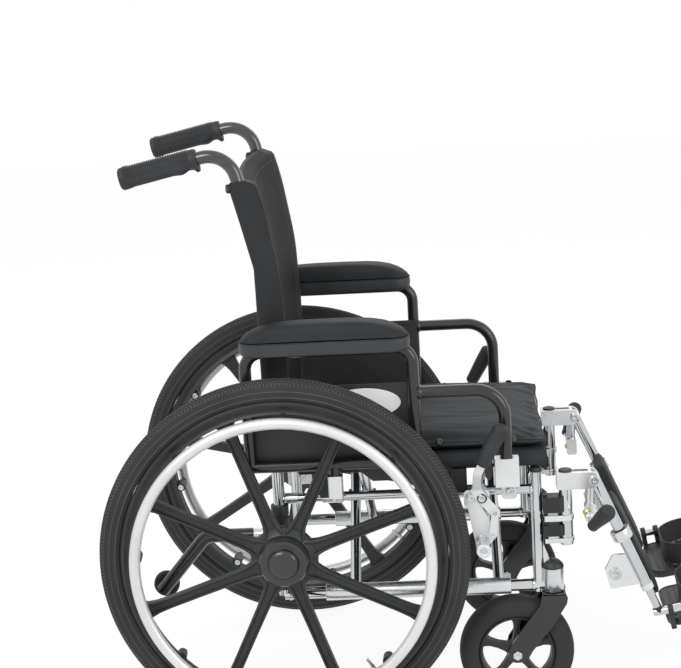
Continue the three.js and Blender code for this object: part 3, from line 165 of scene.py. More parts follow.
GRIP_RUBBER = surface("grip_rubber", (0.020, 0.022, 0.025), (0.032, 0.034, 0.038), (0.5, 0.66),
                      grain=(1300, 0.3, 0.0003), patch=24, specular=0.4)
VINYL = surface("seat_vinyl", (0.026, 0.030, 0.033), (0.040, 0.044, 0.047), (0.55, 0.68),
                grain=(1500, 0.35, 0.0004), patch=11, weave=700, specular=0.16)
BACK_VINYL = surface("back_vinyl", (0.022, 0.023, 0.025), (0.031, 0.033, 0.035), (0.55, 0.7),
                     grain=(1500, 0.35, 0.0004), patch=9, weave=620, specular=0.2)
PAD_TOP = surface("pad_top_vinyl", (0.021, 0.0225, 0.025), (0.031, 0.034, 0.036), (0.54, 0.66),
                  grain=(1400, 0.35, 0.0004), patch=12, weave=760, specular=0.18)
PAD_BAND = surface("pad_band_vinyl", (0.022, 0.025, 0.028), (0.032, 0.036, 0.040), (0.42, 0.55),
                   grain=(1400, 0.3, 0.0003), patch=12, weave=760)
# a darker, duller copy of the back's vinyl for the front of the panel between the sleeves: painted shade
BACK_PAINTED_SHADE = surface("back_front_painted_shade", (0.016, 0.017, 0.018), (0.026, 0.027, 0.029), (0.62, 0.78),
                     grain=(1300, 0.4, 0.0005), patch=12, weave=900, specular=0.1)
# light grey lines along the back's sleeve seams: a painted highlight
SEAM_HIGHLIGHT = surface("seam_painted_highlight", (0.075, 0.078, 0.08), (0.11, 0.115, 0.118), (0.5, 0.66),
               grain=(1600, 0.4, 0.0003), patch=30, weave=1400, specular=0.2)
THREAD = surface("thread", (0.012, 0.013, 0.014), (0.03, 0.032, 0.034), (0.6, 0.8),
                 grain=(2500, 0.5, 0.0003), patch=90)
WEBBING = surface("webbing", (0.016, 0.017, 0.018), (0.032, 0.033, 0.035), (0.6, 0.75),
                  grain=(1700, 0.5, 0.0004), patch=20, weave=900)
BADGE = surface("blank_badge", (0.90, 0.90, 0.90), (0.96, 0.96, 0.96), (0.34, 0.44),
                grain=(1200, 0.06, 0.0001), patch=22)


# Mesh tools


def lerp(a, b, t):
    return a + (b - a) * t


def smooth(t):
    t = min(max(t, 0.0), 1.0)
    return t * t * (3 - 2 * t)


def square_to(axis, wanted, other):
    """A unit vector at right angles to axis, near wanted, or near other where axis runs along wanted."""
    start = wanted if abs(axis.dot(wanted)) < 0.9 else other
    return (start - axis * start.dot(axis)).normalized()


def circle(centre, radius, first, second, sides):
    turns = [TAU * k / sides for k in range(sides)]
    return [centre + radius * (first * math.cos(turn) + second * math.sin(turn)) for turn in turns]


def arc(across, up, radius, start, stop, steps):
    """Points on a flat arc about (across, up), its angles in degrees."""
    turns = [math.radians(lerp(start, stop, k / steps)) for k in range(steps + 1)]
    return [(across + radius * math.cos(turn), up + radius * math.sin(turn)) for turn in turns]


def border(columns, rows):
    """The (column, row) pairs round the edge of a sheet's grid."""
    ring = [(i, 0) for i in range(columns + 1)] + [(columns, j) for j in range(1, rows + 1)]
    return ring + [(i, rows) for i in range(columns - 1, -1, -1)] + [(0, j) for j in range(rows - 1, 0, -1)]


def turned(rings, across, up, angle):
    """Rings of (outward, sideways, y) points, turned about a wheel's axle at (across, up)."""
    c, s = math.cos(angle), math.sin(angle)
    return [[(across + a * c - b * s, y, up + a * s + b * c) for a, b, y in ring] for ring in rings]


class Build:
    """A mesh drawn in one side's own millimetres: x forward, y outward, z up."""

    def __init__(self, name, side, *materials):
        self.side = side
        self.suffix = {RIGHT: "_right", LEFT: "_left", MIDDLE: ""}[side]
        self.name = name + self.suffix
        self.materials = materials
        self.mesh = bmesh.new()

    def grid(self, rows, mat=0, close_rows=False, close_columns=False):
        """Quads over rows of points; a closed direction joins its ends.

        mat may be a number, or a function of the row and the column."""
        made = [[self.mesh.verts.new(p) for p in row] for row in rows]
        count = len(made)
        width = len(made[0])
        for i in range(count if close_columns else count - 1):
            a, b = made[i], made[(i + 1) % count]
            for j in range(width if close_rows else width - 1):
                k = (j + 1) % width
                face = self.mesh.faces.new((a[j], a[k], b[k], b[j]))
                face.material_index = mat(i, j) if callable(mat) else mat
        return made

    def cap(self, ring, mat=0):
        self.mesh.faces.new(ring).material_index = mat

    def solid(self, rings, mat=0):
        """A body through rings, capped at both ends."""
        made = self.grid(rings, mat, close_rows=True)
        self.cap(made[0], mat)
        self.cap(made[-1], mat)

    def tube(self, points, radius, sides=20, mat=0, closed=False):
        """A tube through points; radius may be one number or one for each point."""
        points = [Vector(p) for p in points]
        last = len(points) - 1
        radii = radius if isinstance(radius, (list, tuple)) else [radius] * len(points)
        normal = None
        rings = []
        for i, point in enumerate(points):
            if closed:
                along = (points[(i + 1) % len(points)] - points[i - 1]).normalized()
            else:
                along = (points[min(i + 1, last)] - points[max(i - 1, 0)]).normalized()
            if normal is None:
                normal = square_to(along, OUT, AHEAD)
            else:
                normal = (normal - along * normal.dot(along)).normalized()
            rings.append(circle(point, radii[i], normal, along.cross(normal), sides))
        if closed:
            self.grid(rings, mat, close_rows=True, close_columns=True)
        else:
            self.solid(rings, mat)

    def lathe(self, profile, centre=(0, 0, 0), axis=OUT, sides=48, mat=0, closed=False):
        """Turns [radius, height] pairs about an axis through centre."""
        axis = Vector(axis).normalized()
        first = square_to(axis, UP, AHEAD)
        second = axis.cross(first)
        rings = [circle(Vector(centre) + axis * height, radius, first, second, sides)
                 for radius, height in profile]
        made = self.grid(rings, mat, close_rows=True, close_columns=closed)
        if not closed:
            for (radius, height), ring in ((profile[0], made[0]), (profile[-1], made[-1])):
                if radius > 0.01:
                    self.cap(ring, mat)

    def prism(self, outline, y0, y1, mat=0):
        """A plate of an outline in x and z between two y planes."""
        self.solid([[(x, y, z) for x, z in outline] for y in (y0, y1)], mat)

    def block(self, x0, x1, y0, y1, z0, z1, mat=0):
        self.prism([(x0, z0), (x1, z0), (x1, z1), (x0, z1)], y0, y1, mat)

    def strap(self, a, b, half, y0, y1, mat=0):
        """A round-ended flat link from a to b, points in x and z."""
        turn = math.degrees(math.atan2(b[1] - a[1], b[0] - a[0]))
        ends = arc(*a, half, turn + 90, turn + 270, 8) + arc(*b, half, turn - 90, turn + 90, 8)
        self.prism(ends, y0, y1, mat)

    def bolt(self, point, axis, radius, height, mat=0, hexagon=False, socket=True):
        """A screw head standing on point, with a chamfer and a recess."""
        chamfer = min(radius, height) * 0.25
        floor = height - min(1.2, height * 0.5)
        profile = [(radius, -0.6), (radius, height - chamfer), (radius - chamfer, height)]
        if socket:
            profile += [(radius * 0.42, height), (radius * 0.30, floor), (0.0, floor)]
        else:
            profile += [(0.0, height)]
        self.lathe(profile, point, axis, 6 if hexagon else 24, mat)

    def place(self):
        """Moves the drawing to its side of the chair and makes the object."""
        bmesh.ops.remove_doubles(self.mesh, verts=self.mesh.verts, dist=0.002)
        loose = [f for f in self.mesh.faces if f.calc_area() < 1e-9]
        bmesh.ops.delete(self.mesh, geom=loose, context="FACES_ONLY")
        bmesh.ops.recalc_face_normals(self.mesh, faces=self.mesh.faces)
        mirror = -1 if self.side == RIGHT else 1
        self.mesh.transform(Matrix.Translation((AXLE_X, 0, 0)) @ Matrix.Diagonal((MM, mirror * MM, MM, 1)))
        if mirror < 0:
            bmesh.ops.reverse_faces(self.mesh, faces=self.mesh.faces)
        data = bpy.data.meshes.new(self.name)
        self.mesh.to_mesh(data)
        self.mesh.free()
        for material in self.materials:
            data.materials.append(material)
        made = bpy.data.objects.new(self.name, data)
        bpy.context.scene.collection.objects.link(made)
        return made

    def seat(self, body, node="", angle=38, bevel=0.0):
        """Places the piece on its own side's body, in the stead of that side's node."""
        piece = self.place()
        return finish(piece, body + self.suffix, [node + self.suffix] if node else [], angle, bevel)


def finish(piece, body, nodes=(), angle=38, bevel=0.0):
    """Smooths a piece, rounds its edges, and seats it on its body."""
    data = piece.data
    data.polygons.foreach_set("use_smooth", [True] * len(data.polygons))
    data.set_sharp_from_angle(angle=math.radians(angle))
    if bevel:
        rounding = piece.modifiers.new("edge_rounding", "BEVEL")
        rounding.width = bevel * MM
        rounding.segments = 2
        rounding.limit_method = "ANGLE"
        rounding.angle_limit = math.radians(40)
        rounding.harden_normals = True
        rounding.use_clamp_overlap = True
    if isinstance(body, str):
        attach(piece, body)
    else:
        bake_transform(piece)
    if nodes:
        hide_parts(*nodes)
    return piece


def swell(piece, still, cap, pressure=4.0, cell=0.005, frames=20):
    """Fill a closed cover as cloth under pressure; points where still() holds stay put."""
    scene = bpy.context.scene
    cells = piece.modifiers.new("cells", "REMESH")
    cells.mode = "VOXEL"
    cells.voxel_size = cell
    graph = bpy.context.evaluated_depsgraph_get()
    mesh = bpy.data.meshes.new_from_object(piece.evaluated_get(graph))
    piece.modifiers.clear()
    piece.data = mesh
    rest = [point.co.copy() for point in mesh.vertices]
    group = piece.vertex_groups.new(name="still")
    group.add([i for i, place in enumerate(rest) if still(place)], 1.0, "REPLACE")
    cover = piece.modifiers.new("cover", "CLOTH")
    settings = cover.settings
    settings.quality = 5
    settings.mass = 0.2
    settings.tension_stiffness = 12
    settings.compression_stiffness = 12
    settings.shear_stiffness = 4
    settings.bending_stiffness = 0.3
    settings.use_pressure = True
    settings.uniform_pressure_force = pressure
    settings.effector_weights.gravity = 0
    settings.vertex_group_mass = "still"
    cover.collision_settings.use_collision = False
    cover.point_cache.frame_start = 1
    cover.point_cache.frame_end = frames
    for frame_number in range(1, frames + 1):
        scene.frame_set(frame_number)
    graph = bpy.context.evaluated_depsgraph_get()
    filled = bpy.data.meshes.new_from_object(piece.evaluated_get(graph))
    piece.modifiers.clear()
    piece.vertex_groups.clear()
    scene.frame_set(1)
    for point, was in zip(filled.vertices, rest):
        move = point.co - was
        if move.length > cap:
            point.co = was + move * (cap / move.length)
    piece.data = filled
    smoother = piece.modifiers.new("smoother", "SUBSURF")
    smoother.levels = 1
    smoother.render_levels = 1
    graph = bpy.context.evaluated_depsgraph_get()
    piece.data = bpy.data.meshes.new_from_object(piece.evaluated_get(graph))
    piece.modifiers.clear()


def arc_route(points, radius, steps=10):
    """A polyline with its inner corners replaced by arcs."""
    points = [Vector(p) for p in points]
    radii = radius if isinstance(radius, (list, tuple)) else [radius] * (len(points) - 2)
    route = [points[0]]
    for i in range(1, len(points) - 1):
        corner = points[i]
        back = (points[i - 1] - corner).normalized()
        ahead = (points[i + 1] - corner).normalized()
        half = back.angle(ahead) / 2
        r = radii[i - 1]
        reach = r / math.tan(half)
        centre = corner + (back + ahead).normalized() * (r / math.sin(half))
        a = corner + back * reach - centre
        b = corner + ahead * reach - centre
        sweep = a.angle(b)
        axis = a.cross(b).normalized()
        for k in range(steps + 1):
            turn = Matrix.Rotation(sweep * k / steps, 3, axis)
            route.append(centre + turn @ a)
    route.append(points[-1])
    return route


# Sizes, as in the frame

FRAME_Y, ARM_Y, WHEEL_Y = 192.0, 240.0, 275.0
WHEEL_R = 305.0
RAIL_Z, LOW_RAIL_Z = 381.0, 212.0
LEG_SIN = 0.4
LEG_COS = math.sqrt(1 - LEG_SIN ** 2)
WHEEL_TURNS = {RIGHT: math.radians(3.2), LEFT: math.radians(-9.8)}
WHEEL_CENTRE = Vector((0, 0, WHEEL_R))
REAR_POST_X, POST_X, STEM_X, HANGER_X = -10.0, 419.0, 443.0, 467.5
SEAT_Z = 435.0
CASTER_X, CASTER_R = 378.0, 97.0
CANE_BEND_Z, CANE_TOP_X, CANE_TOP_Z = 775.0, -57.0, 970.0
BRAKE_BOLT, LINK_TOP, LINK_FOOT, SHOE_PIN = (327, 386), (348, 360), (343, 322), (326, 309)
TIP_AXLE_X, TIP_AXLE_Z = -213.0, 231.0
LEG_BOLT = Vector((515, FRAME_Y, 396))
# the seat hangs between the rails of the two braces
SEAT_SPAN = ("brace_b", "brace_a", (0, -0.172, 0.45), (0, 0.172, 0.45))


def leg_point(t, ahead, y=FRAME_Y):
    return Vector((LEG_BOLT.x + t * LEG_SIN + ahead * LEG_COS, y, LEG_BOLT.z - t * LEG_COS + ahead * LEG_SIN))


ROD_PITCH = math.radians(10)
ROD_FOOT = Vector((616, FRAME_Y, 155))


def rod_point(u, w, y=FRAME_Y):
    """A point by its distance along and above the footplate's rod."""
    c, s = math.cos(ROD_PITCH), math.sin(ROD_PITCH)
    return Vector((ROD_FOOT.x + u * c - w * s, y, ROD_FOOT.z + u * s + w * c))


# Rear wheels


def tyre(side):
    part = Build("tyre_tread", side, TYRE_RUBBER, TREAD_HIGHLIGHT)
    around = 1216
    # half profile from the bead to the crown: radius, offset from the middle, tread block set
    half = [
        (270.0, 13.0, 0), (272.5, 15.2, 0), (275.5, 16.4, 0), (277.0, 17.1, 0), (278.2, 16.7, 0),
        (283.0, 17.4, 0), (286.0, 17.5, 0), (287.0, 17.5, 0), (288.0, 17.1, 0), (293.0, 16.5, 0),
        (295.6, 15.6, 0), (296.3, 16.2, 0), (297.0, 15.6, 0), (297.8, 14.6, 1), (300.2, 12.6, 1),
        (300.6, 12.1, 0), (301.2, 11.4, 0), (301.6, 10.9, 2), (303.0, 8.9, 2), (303.3, 8.2, 0),
        (303.8, 7.2, 0), (304.0, 6.6, 1), (304.7, 4.2, 1), (304.8, 3.6, 0), (304.9, 2.4, 0), (305.0, 1.8, 2),
    ]
    profile = half + [(r, -off, relief) for r, off, relief in reversed(half)]
    groove, side_groove, shoulder = 1.9, 1.14, 300
    rings = []
    for i in range(around):
        angle = TAU * i / around
        ring = []
        for r, off, relief in profile:
            # the two block sets take turns, two steps each
            if relief == i % 4 // 2 + 1:
                r -= side_groove if r < shoulder else groove
            ring.append((r * math.sin(angle), WHEEL_Y + off, WHEEL_R + r * math.cos(angle)))
        rings.append(ring)

    def tread(i, j):
        r, _, relief = profile[j]
        # the raised block tops and three thin ridges take the lighter rubber, a painted highlight where they
        # catch the light
        lit_top = (relief == 1 and i % 4 == 2) or (relief == 2 and i % 4 == 0)
        return 1 if lit_top or r in (296.3, 287.0, 277.0) else 0

    part.grid(rings, tread, close_rows=True, close_columns=True)
    part.seat("rear_wheel", "tyre", angle=50)


def wheel_ray(degrees, turn):
    """The way out from a rear wheel's axle, by its angle below straight ahead."""
    angle = math.radians(degrees) + turn
    return Vector((math.cos(angle), 0, -math.sin(angle)))


def mag_wheel(side):
    turn = WHEEL_TURNS[side]
    part = Build("spoked_wheel", side, BLACK_PLASTIC, BOLT)
    rim = [
        (269.6, -12.6), (269.6, 12.6), (267.4, 14.6), (264.0, 15.0), (261.6, 14.2), (259.5, 12.2),
        (256.5, 11.4), (253.0, 11.8), (251.0, 13.6), (249.2, 14.6), (248.0, 13.6), (247.6, 8.0),
        (247.6, -8.0), (248.0, -13.6), (249.2, -14.6), (251.0, -13.6), (256.5, -11.4), (261.6, -14.2),
        (264.0, -15.0), (267.4, -14.6),
    ]
    part.lathe(rim, (0, WHEEL_Y, WHEEL_R), sides=160, closed=True)
    hub = [
        (7.0, 245.2), (30.0, 245.2), (33.0, 247.0), (34.0, 258.0), (50.0, 264.0), (55.0, 267.0),
        (56.0, 274.0), (54.0, 279.0), (46.0, 281.0), (42.5, 284.0), (41.5, 294.0), (40.0, 296.6),
        (30.0, 296.9), (7.0, 296.9),
    ]
    part.lathe(hub, WHEEL_CENTRE, sides=64, closed=True)
    # spokes: two raised ribs along the edges with a sunk panel between them
    section = [(-10, 268), (-10, 281.5), (-8.6, 283), (-7.0, 283), (-5.8, 281.5), (-5.2, 277.4),
               (5.2, 277.4), (5.8, 281.5), (7.0, 283), (8.6, 283), (10, 281.5), (10, 268), (8.4, 266.4),
               (-8.4, 266.4)]
    # reach from the axle, and the width there as a share of the section's
    reach_shares = [(36, 1.62), (44, 1.84), (50, 1.62), (57, 1.34), (66, 1.14), (80, 1.02), (100, 0.98),
                    (150, 0.93), (205, 0.92), (226, 1.0), (240, 1.25), (250, 1.9)]
    spoke = [[(reach, across * wide, y) for across, y in section] for reach, wide in reach_shares]
    for k in range(8):
        part.solid(turned(spoke, 0, WHEEL_R, -math.radians(22.5 + 45 * k) - turn))
    # bosses and screws of the push rim's spacers
    for k in range(8):
        spot = WHEEL_CENTRE + wheel_ray(45 * k, turn) * 243
        part.lathe([(7.2, 263.6), (8.0, 264.6), (8.6, 270), (9.4, 289.2), (8.8, 289.8), (0, 289.8)], spot,
                   sides=24)
        part.bolt(spot + 263.8 * OUT, -OUT, 5.6, 2.6, 1)
    # valve stem
    ray = wheel_ray(52, turn)
    base = WHEEL_CENTRE + WHEEL_Y * OUT + ray * 247
    part.tube([base - ray * depth for depth in (0, 12, 16, 26)], [3.2, 3.0, 2.4, 2.4], 14, 1)
    part.seat("rear_wheel", "mag_wheel", angle=32, bevel=0.5)


def handrim(side):
    part = Build("push_rim", side, RIM_METAL, BLACK_PLASTIC)
    ring = circle(WHEEL_CENTRE + 316 * OUT, 241.5, UP, AHEAD, 180)
    part.tube(ring, 9.3, 24, 0, closed=True)
    for k in range(8):
        ray = wheel_ray(45 * k, WHEEL_TURNS[side])
        spacer = [WHEEL_CENTRE + ray * reach + y * OUT
                  for reach, y in ((244, 290.3), (244, 292.3), (243.5, 297), (242, 312))]
        part.tube(spacer, [7.4, 6.8, 5.4, 5.8], 20, 1)
    part.seat("rear_wheel", "handrim", angle=40)


def hub_cap(side):
    part = Build("hub_cover", side, HUB_PLASTIC)
    profile = [(0, 205), (6, 205), (6, 297.3), (38.6, 297.3), (39.6, 298.4), (39.6, 300.6), (38.2, 302.4),
               (34.5, 302.8), (31.0, 301.6), (28.8, 301.0), (26.6, 301.4), (25.6, 303.2), (24.6, 306.4),
               (22.0, 309.4), (17.0, 311.2), (10.0, 311.8), (0, 311.8)]
    part.lathe(profile, WHEEL_CENTRE, sides=64)
    part.seat("rear_wheel", "hub_cap", angle=40)


# Side frame


def side_frame(side):
    y = FRAME_Y
    tubes = Build("frame_tubes", side, CHROME)
    tubes.tube([(REAR_POST_X, y, LOW_RAIL_Z), (REAR_POST_X, y, 435.6)], 10, 28)
    tubes.tube([(REAR_POST_X, y, RAIL_Z), (POST_X, y, RAIL_Z)], 8, 24)
    tubes.tube([(POST_X, y, 202), (POST_X, y, 416)], 9.5, 28)
    tubes.tube([(REAR_POST_X, y, LOW_RAIL_Z), (428, y, LOW_RAIL_Z)], 10, 28)
    # weld beads where tubes meet
    for x, post, s in ((REAR_POST_X, 10.2, 1), (POST_X, 9.7, -1)):
        for z, rail in ((RAIL_Z, 8.4), (LOW_RAIL_Z, 10.4)):
            bead = [(x + s * reach, y, z) for reach in (post - 2, post, post + 1.6)]
            tubes.tube(bead, [rail + 1.4, rail + 1.2, rail], 24)
    tubes.seat("frame", "side_frame", angle=40)

    fittings = Build("frame_fittings", side, SILVER, BLACK_PLASTIC, BOLT)
    # caster housing, a steel cup with a black dome cap, and its gusset
    stem = (STEM_X, y, 0)
    fittings.lathe([(17.4, 202), (18, 203), (18, 242.4), (17.4, 243), (0, 243)], stem, UP, 40)
    fittings.lathe([(18.2, 242.4), (18.4, 244.6), (16.6, 248.6), (12.6, 252.8), (8.4, 255.8), (4.4, 257.5),
                    (0, 258)], stem, UP, 40, 1)
    fittings.prism([(424, 232), (438, 232), (440, 246), (436, 262), (428, 284), (424, 284)], y - 3, y + 3)
    # post cap and its lip
    fittings.lathe([(10.4, 411.5), (10.6, 413), (10.6, 416.4), (9.4, 418.8), (6.2, 420.6), (0, 421)],
                   (POST_X, y, 0), UP, 32, 1)
    # cradles that the seat rails rest in, each on a steel clip
    cradle_top = 424
    hollow = [point for point in arc(y, SEAT_Z, 14.6, 200, 340, 12) if point[1] <= cradle_top]
    shape = [(y - 12.5, 383), (y + 12.5, 383), (y + 12.5, cradle_top), (hollow[-1][0], cradle_top)]
    shape += hollow[::-1] + [(hollow[0][0], cradle_top), (y - 12.5, cradle_top)]
    for rear in (60, 280):
        fittings.solid([[(x, across, z) for across, z in shape] for x in (rear, rear + 25)], 1)
        fittings.tube([(rear + 3, y, RAIL_Z), (rear + 22, y, RAIL_Z)], 10.4, 24)
    # axle plate, sleeve and lock nut
    fittings.prism([(-24, 284), (19, 284), (20, 286), (20, 324), (17, 327), (-22, 327), (-25, 324),
                    (-25, 286)], 189, 203)
    fittings.lathe([(7, 200), (15.4, 200), (16, 201), (16, 238.6), (15, 239.8), (7, 239.8)], WHEEL_CENTRE,
                   sides=36, closed=True)
    fittings.bolt((0, 189, WHEEL_R), -OUT, 11, 6, 2, hexagon=True)
    # collar on the rear post
    fittings.lathe([(10.2, 333), (14.4, 333), (15, 334), (15, 350), (13.2, 351), (13.2, 353), (15, 354),
                    (15, 370), (14.4, 371), (10.2, 371)], (REAR_POST_X, y, 0), UP, 32, 1, closed=True)
    # anti-tip socket with the head of its screw
    fittings.lathe([(6.9, -57), (9.1, -57), (9.5, -56.4), (9.5, -14), (6.9, -14)], (0, y, 320), AHEAD, 28,
                   closed=True)
    fittings.bolt((-45, y + 9, 320), OUT, 3.2, 1.6, 2, socket=False)
    # rear armrest socket
    socket_block(fittings, 77, 101, 396, 434, 89)
    fittings.block(80, 98, 199, 229, 399, 408)
    fittings.prism([(80, 374), (98, 374), (98, 407), (95, 408), (83, 408), (80, 407)], 198, 204)
    fittings.bolt((92, 204, RAIL_Z), OUT, 7, 5, 2, hexagon=True)
    # brake mounting plate, clamp and bolts
    fittings.prism([(298, 374), (301, 370), (337, 370), (340, 374), (340, 394), (336, 398), (302, 398),
                    (298, 394)], 236.2, 241)
    fittings.prism([(305, 374), (333, 374), (333, 391), (331, 393), (307, 393), (305, 391)], 199, 237)
    fittings.tube([(302, y, RAIL_Z), (336, y, RAIL_Z)], 11, 28)
    for x, foot in ((309, 245.2), (327, 248.9)):
        fittings.tube([(x, 238, 386), (x, foot, 386)], 3.9, 16, 2)
        fittings.bolt((x, foot, 386), OUT, 6.4, 2.8, 2)
    # welded sleeve at the rear end of the upper rail
    fittings.tube([(2, y, RAIL_Z), (22, y, RAIL_Z)], 9.2, 24)
    fittings.seat("frame", angle=34, bevel=0.6)


def socket_block(part, x0, x1, z0, z1, bore_x):
    """A socket with a round bore along z, drawn as a ring of walls."""
    count, half_depth, bore = 40, 12, 10.45
    inner, outer = [], []
    for k in range(count):
        c, s = math.cos(TAU * (k + 0.5) / count), math.sin(TAU * (k + 0.5) / count)
        half_x = (x1 - bore_x) if c > 0 else (bore_x - x0)
        reach = min(half_x / max(abs(c), 1e-6), half_depth / max(abs(s), 1e-6))
        inner.append((bore_x + bore * c, ARM_Y + bore * s))
        outer.append((bore_x + reach * c, ARM_Y + reach * s))
    walls = [[(x, y, z) for x, y in ring] for ring, z in ((inner, z0), (outer, z0), (outer, z1), (inner, z1))]
    part.grid(walls, close_rows=True, close_columns=True)


# Back


CANE = arc_route([(REAR_POST_X, FRAME_Y, 436), (REAR_POST_X, FRAME_Y, CANE_BEND_Z),
                  (CANE_TOP_X, FRAME_Y, CANE_TOP_Z), (-226, FRAME_Y, 932.9)], [260, 45], 14)


def cane_x(z):
    return lerp(REAR_POST_X, CANE_TOP_X, max(0.0, (z - CANE_BEND_Z) / (CANE_TOP_Z - CANE_BEND_Z)))


def taut_x(z, reach=110.0):
    """The cane's line as the stretched cover shows it, with its bend drawn out."""
    return sum(cane_x(z + reach * k / 6) for k in range(-6, 7)) / 13


def back_cane(side):
    part = Build("back_tube", side, CANE_PAINT, BLACK_PLASTIC, BOLT)
    part.tube(CANE, 11, 32)
    # the knob that holds the top of the sleeve
    part.bolt((-58, FRAME_Y + 1.5, 908), (-1, 0.3, 0), 7.5, 5.5, 1, socket=False)
    part.seat("frame", "back_cane", angle=40)


def push_grip(side):
    """A moulded grip: ribbed rings, a flared rear lip and a finger hook in front."""
    part = Build("hand_grip", side, GRIP_RUBBER)
    slope = 0.2198
    pitch = math.atan(slope)
    front = Vector((-107, FRAME_Y, CANE_TOP_Z - 50 * slope))
    back = Vector((-math.cos(pitch), 0, -math.sin(pitch)))
    up = Vector((-math.sin(pitch), 0, math.cos(pitch)))
    out = OUT
    length, around, bore, end = 130, 40, 11.3, 14
    # the mouth round the tube, then the outside, then the rounded rear end
    rings = [circle(front + back * 20, bore, up, out, around), circle(front, bore, up, out, around)]
    for t in range(length + 1):
        base = lerp(16.2, 17.2, smooth(t / 4))
        if t > 108:
            base = lerp(17.2, 18.4, smooth((t - 108) / 10))
        if t > 126:
            base = 18.4 * math.sqrt(1 - 0.3 * ((t - 126) / 4) ** 2)
        ring = []
        for k in range(around):
            high, wide = math.cos(TAU * k / around), math.sin(TAU * k / around)
            radius = base
            if 12 < t < 124:
                # ribs over the top, a smooth flat beside them
                radius += 1.7 if int(t / 2) % 2 == 0 and high > 0.05 else 0
                radius -= 0.7 * math.exp(-((high + 0.15) / 0.3) ** 2)
            # one finger hollow behind the hook below
            radius -= 2.2 * max(0, -high) * math.exp(-((t - 16) / 7) ** 2)
            radius += 2.0 * max(0, -high) * math.exp(-((t - 30) / 9) ** 2)
            if t < 10 and high < -0.4:
                radius += 4.6 * smooth((-high - 0.4) / 0.5) * (1 - smooth((t - 3) / 7))
            ring.append(front + back * t + up * (radius * high) + out * (radius * wide))
        rings.append(ring)
    rings.append(circle(front + back * length, end, up, out, around))
    made = part.grid(rings, close_rows=True)
    part.cap(made[-1])
    part.seat("frame", "push_grip", angle=60)


# Armrest


def armrest(side):
    y = ARM_Y
    tubes = Build("armrest_tube", side, BLACK_PAINT)
    tubes.tube(arc_route([(-48, y, 452), (-48, y, 645), (224, y, 645), (224, y, 452)], 28), 10, 28)
    tubes.tube([(-58, y, 452), (234, y, 452)], 10, 28)
    tubes.tube(arc_route([(224, y, 568), (370, y, 568), (370, y, 418)], 48, 14), 10, 28)
    tubes.tube([(89, y, 452), (89, y, 404)], 10, 28)
    # weld bead round the front rail's root
    tubes.tube([(232, y, 568), (234.5, y, 568), (237, y, 568)], [12.2, 11.8, 10], 28)
    tubes.seat("armrest", "armrest_frame", angle=40)

    guard = Build("side_panel", side, GUARD_PLASTIC, BOLT, BADGE)
    y0, y1 = 226.6, 229.2
    middle, top = (y0 + y1) / 2, 582
    guard.prism([(-56, 440), (-54, 438), (126, 438), (150, 417), (228, 417), (230, 419), (230, 580),
                 (228, top), (-54, top), (-56, 580)], y0, y1)
    # the folded hem along the top edge
    guard.prism([(-56, 576), (230, 576), (230, top), (-56, top)], y0 - 1.2, y0 + 0.2)
    guard.tube([(-56, middle, 581.2), (229.6, middle, 581.2)], 1.5, 12)
    # a blank oval badge
    oval = [(142 + 60 * math.cos(TAU * k / 56), 550.5 + 25 * math.sin(TAU * k / 56)) for k in range(56)]
    guard.prism(oval, y1 - 0.2, y1 + 0.8, 2)
    for x, z in ((-40, 470), (210, 440), (212, 566), (-40, 566)):
        guard.bolt((x, y1, z), OUT, 3.4, 0.8, 0, socket=False)
    guard.seat("armrest", "skirt_guard", angle=30, bevel=0.3)
    arm_pad(side)


def arm_pad(side):
    """A padded armrest: straight band below the seam, domed top above it."""
    part = Build("arm_cushion", side, PAD_TOP, PAD_BAND, THREAD)
    rear, front = -55.0, 221.0
    half, corner = 30.0, 27.0
    middle, reach = (rear + front) / 2, (front - rear) / 2
    # outline of the pad seen from above: two round ends, joined by divided straight sides
    ends = []
    for cx, start in ((front - corner, -90), (rear + corner, 90)):
        ends += [(cx + corner * c, half * s) for c, s in arc(0, 0, 1, start, start + 180, 20)]
    route = []
    for p, q in zip(ends, ends[1:] + ends[:1]):
        steps = 24 if math.dist(p, q) > 30 else 1
        route += [(lerp(p[0], q[0], k / steps), lerp(p[1], q[1], k / steps)) for k in range(steps)]

    def ring(share, z):
        return [(middle + (x - middle) * share, ARM_Y + across * share, z) for x, across in route]

    def crest(x):
        share = abs(x - middle) / reach
        return 665.5 + 29.0 * (1 - 0.24 * share ** 2.6 - 0.2 * share ** 9)

    band_shares = ((0.955, 643.2), (0.985, 644.2), (1.0, 647.0), (1.004, 654.0), (1.002, 661.5),
                   (0.996, 663.8), (0.988, 664.6))
    made = part.grid([ring(share, z) for share, z in band_shares], 1, close_rows=True)
    part.cap(made[0], 1)
    # piping along the seam
    part.tube(ring(0.997, 664.9), 1.0, 8, 2, closed=True)
    tops = []
    for share in (0.988, 0.984, 0.972, 0.95, 0.915, 0.86, 0.78, 0.66, 0.5, 0.32, 0.14, 0.05):
        level = math.sqrt(max(0.0, 1 - (share / 0.99) ** 5.2))
        top = []
        for x, y, z in ring(share, 664.8):
            wrinkle = 0.35 * noise.noise(Vector((x * 0.03, (y - ARM_Y) * 0.08, side * 3.0)))
            top.append((x, y, lerp(z, crest(x), level) + wrinkle * level))
        tops.append(top)
    made = part.grid(tops, 0, close_rows=True)
    part.cap(made[-1])
    part.seat("armrest", "arm_pad", angle=50)


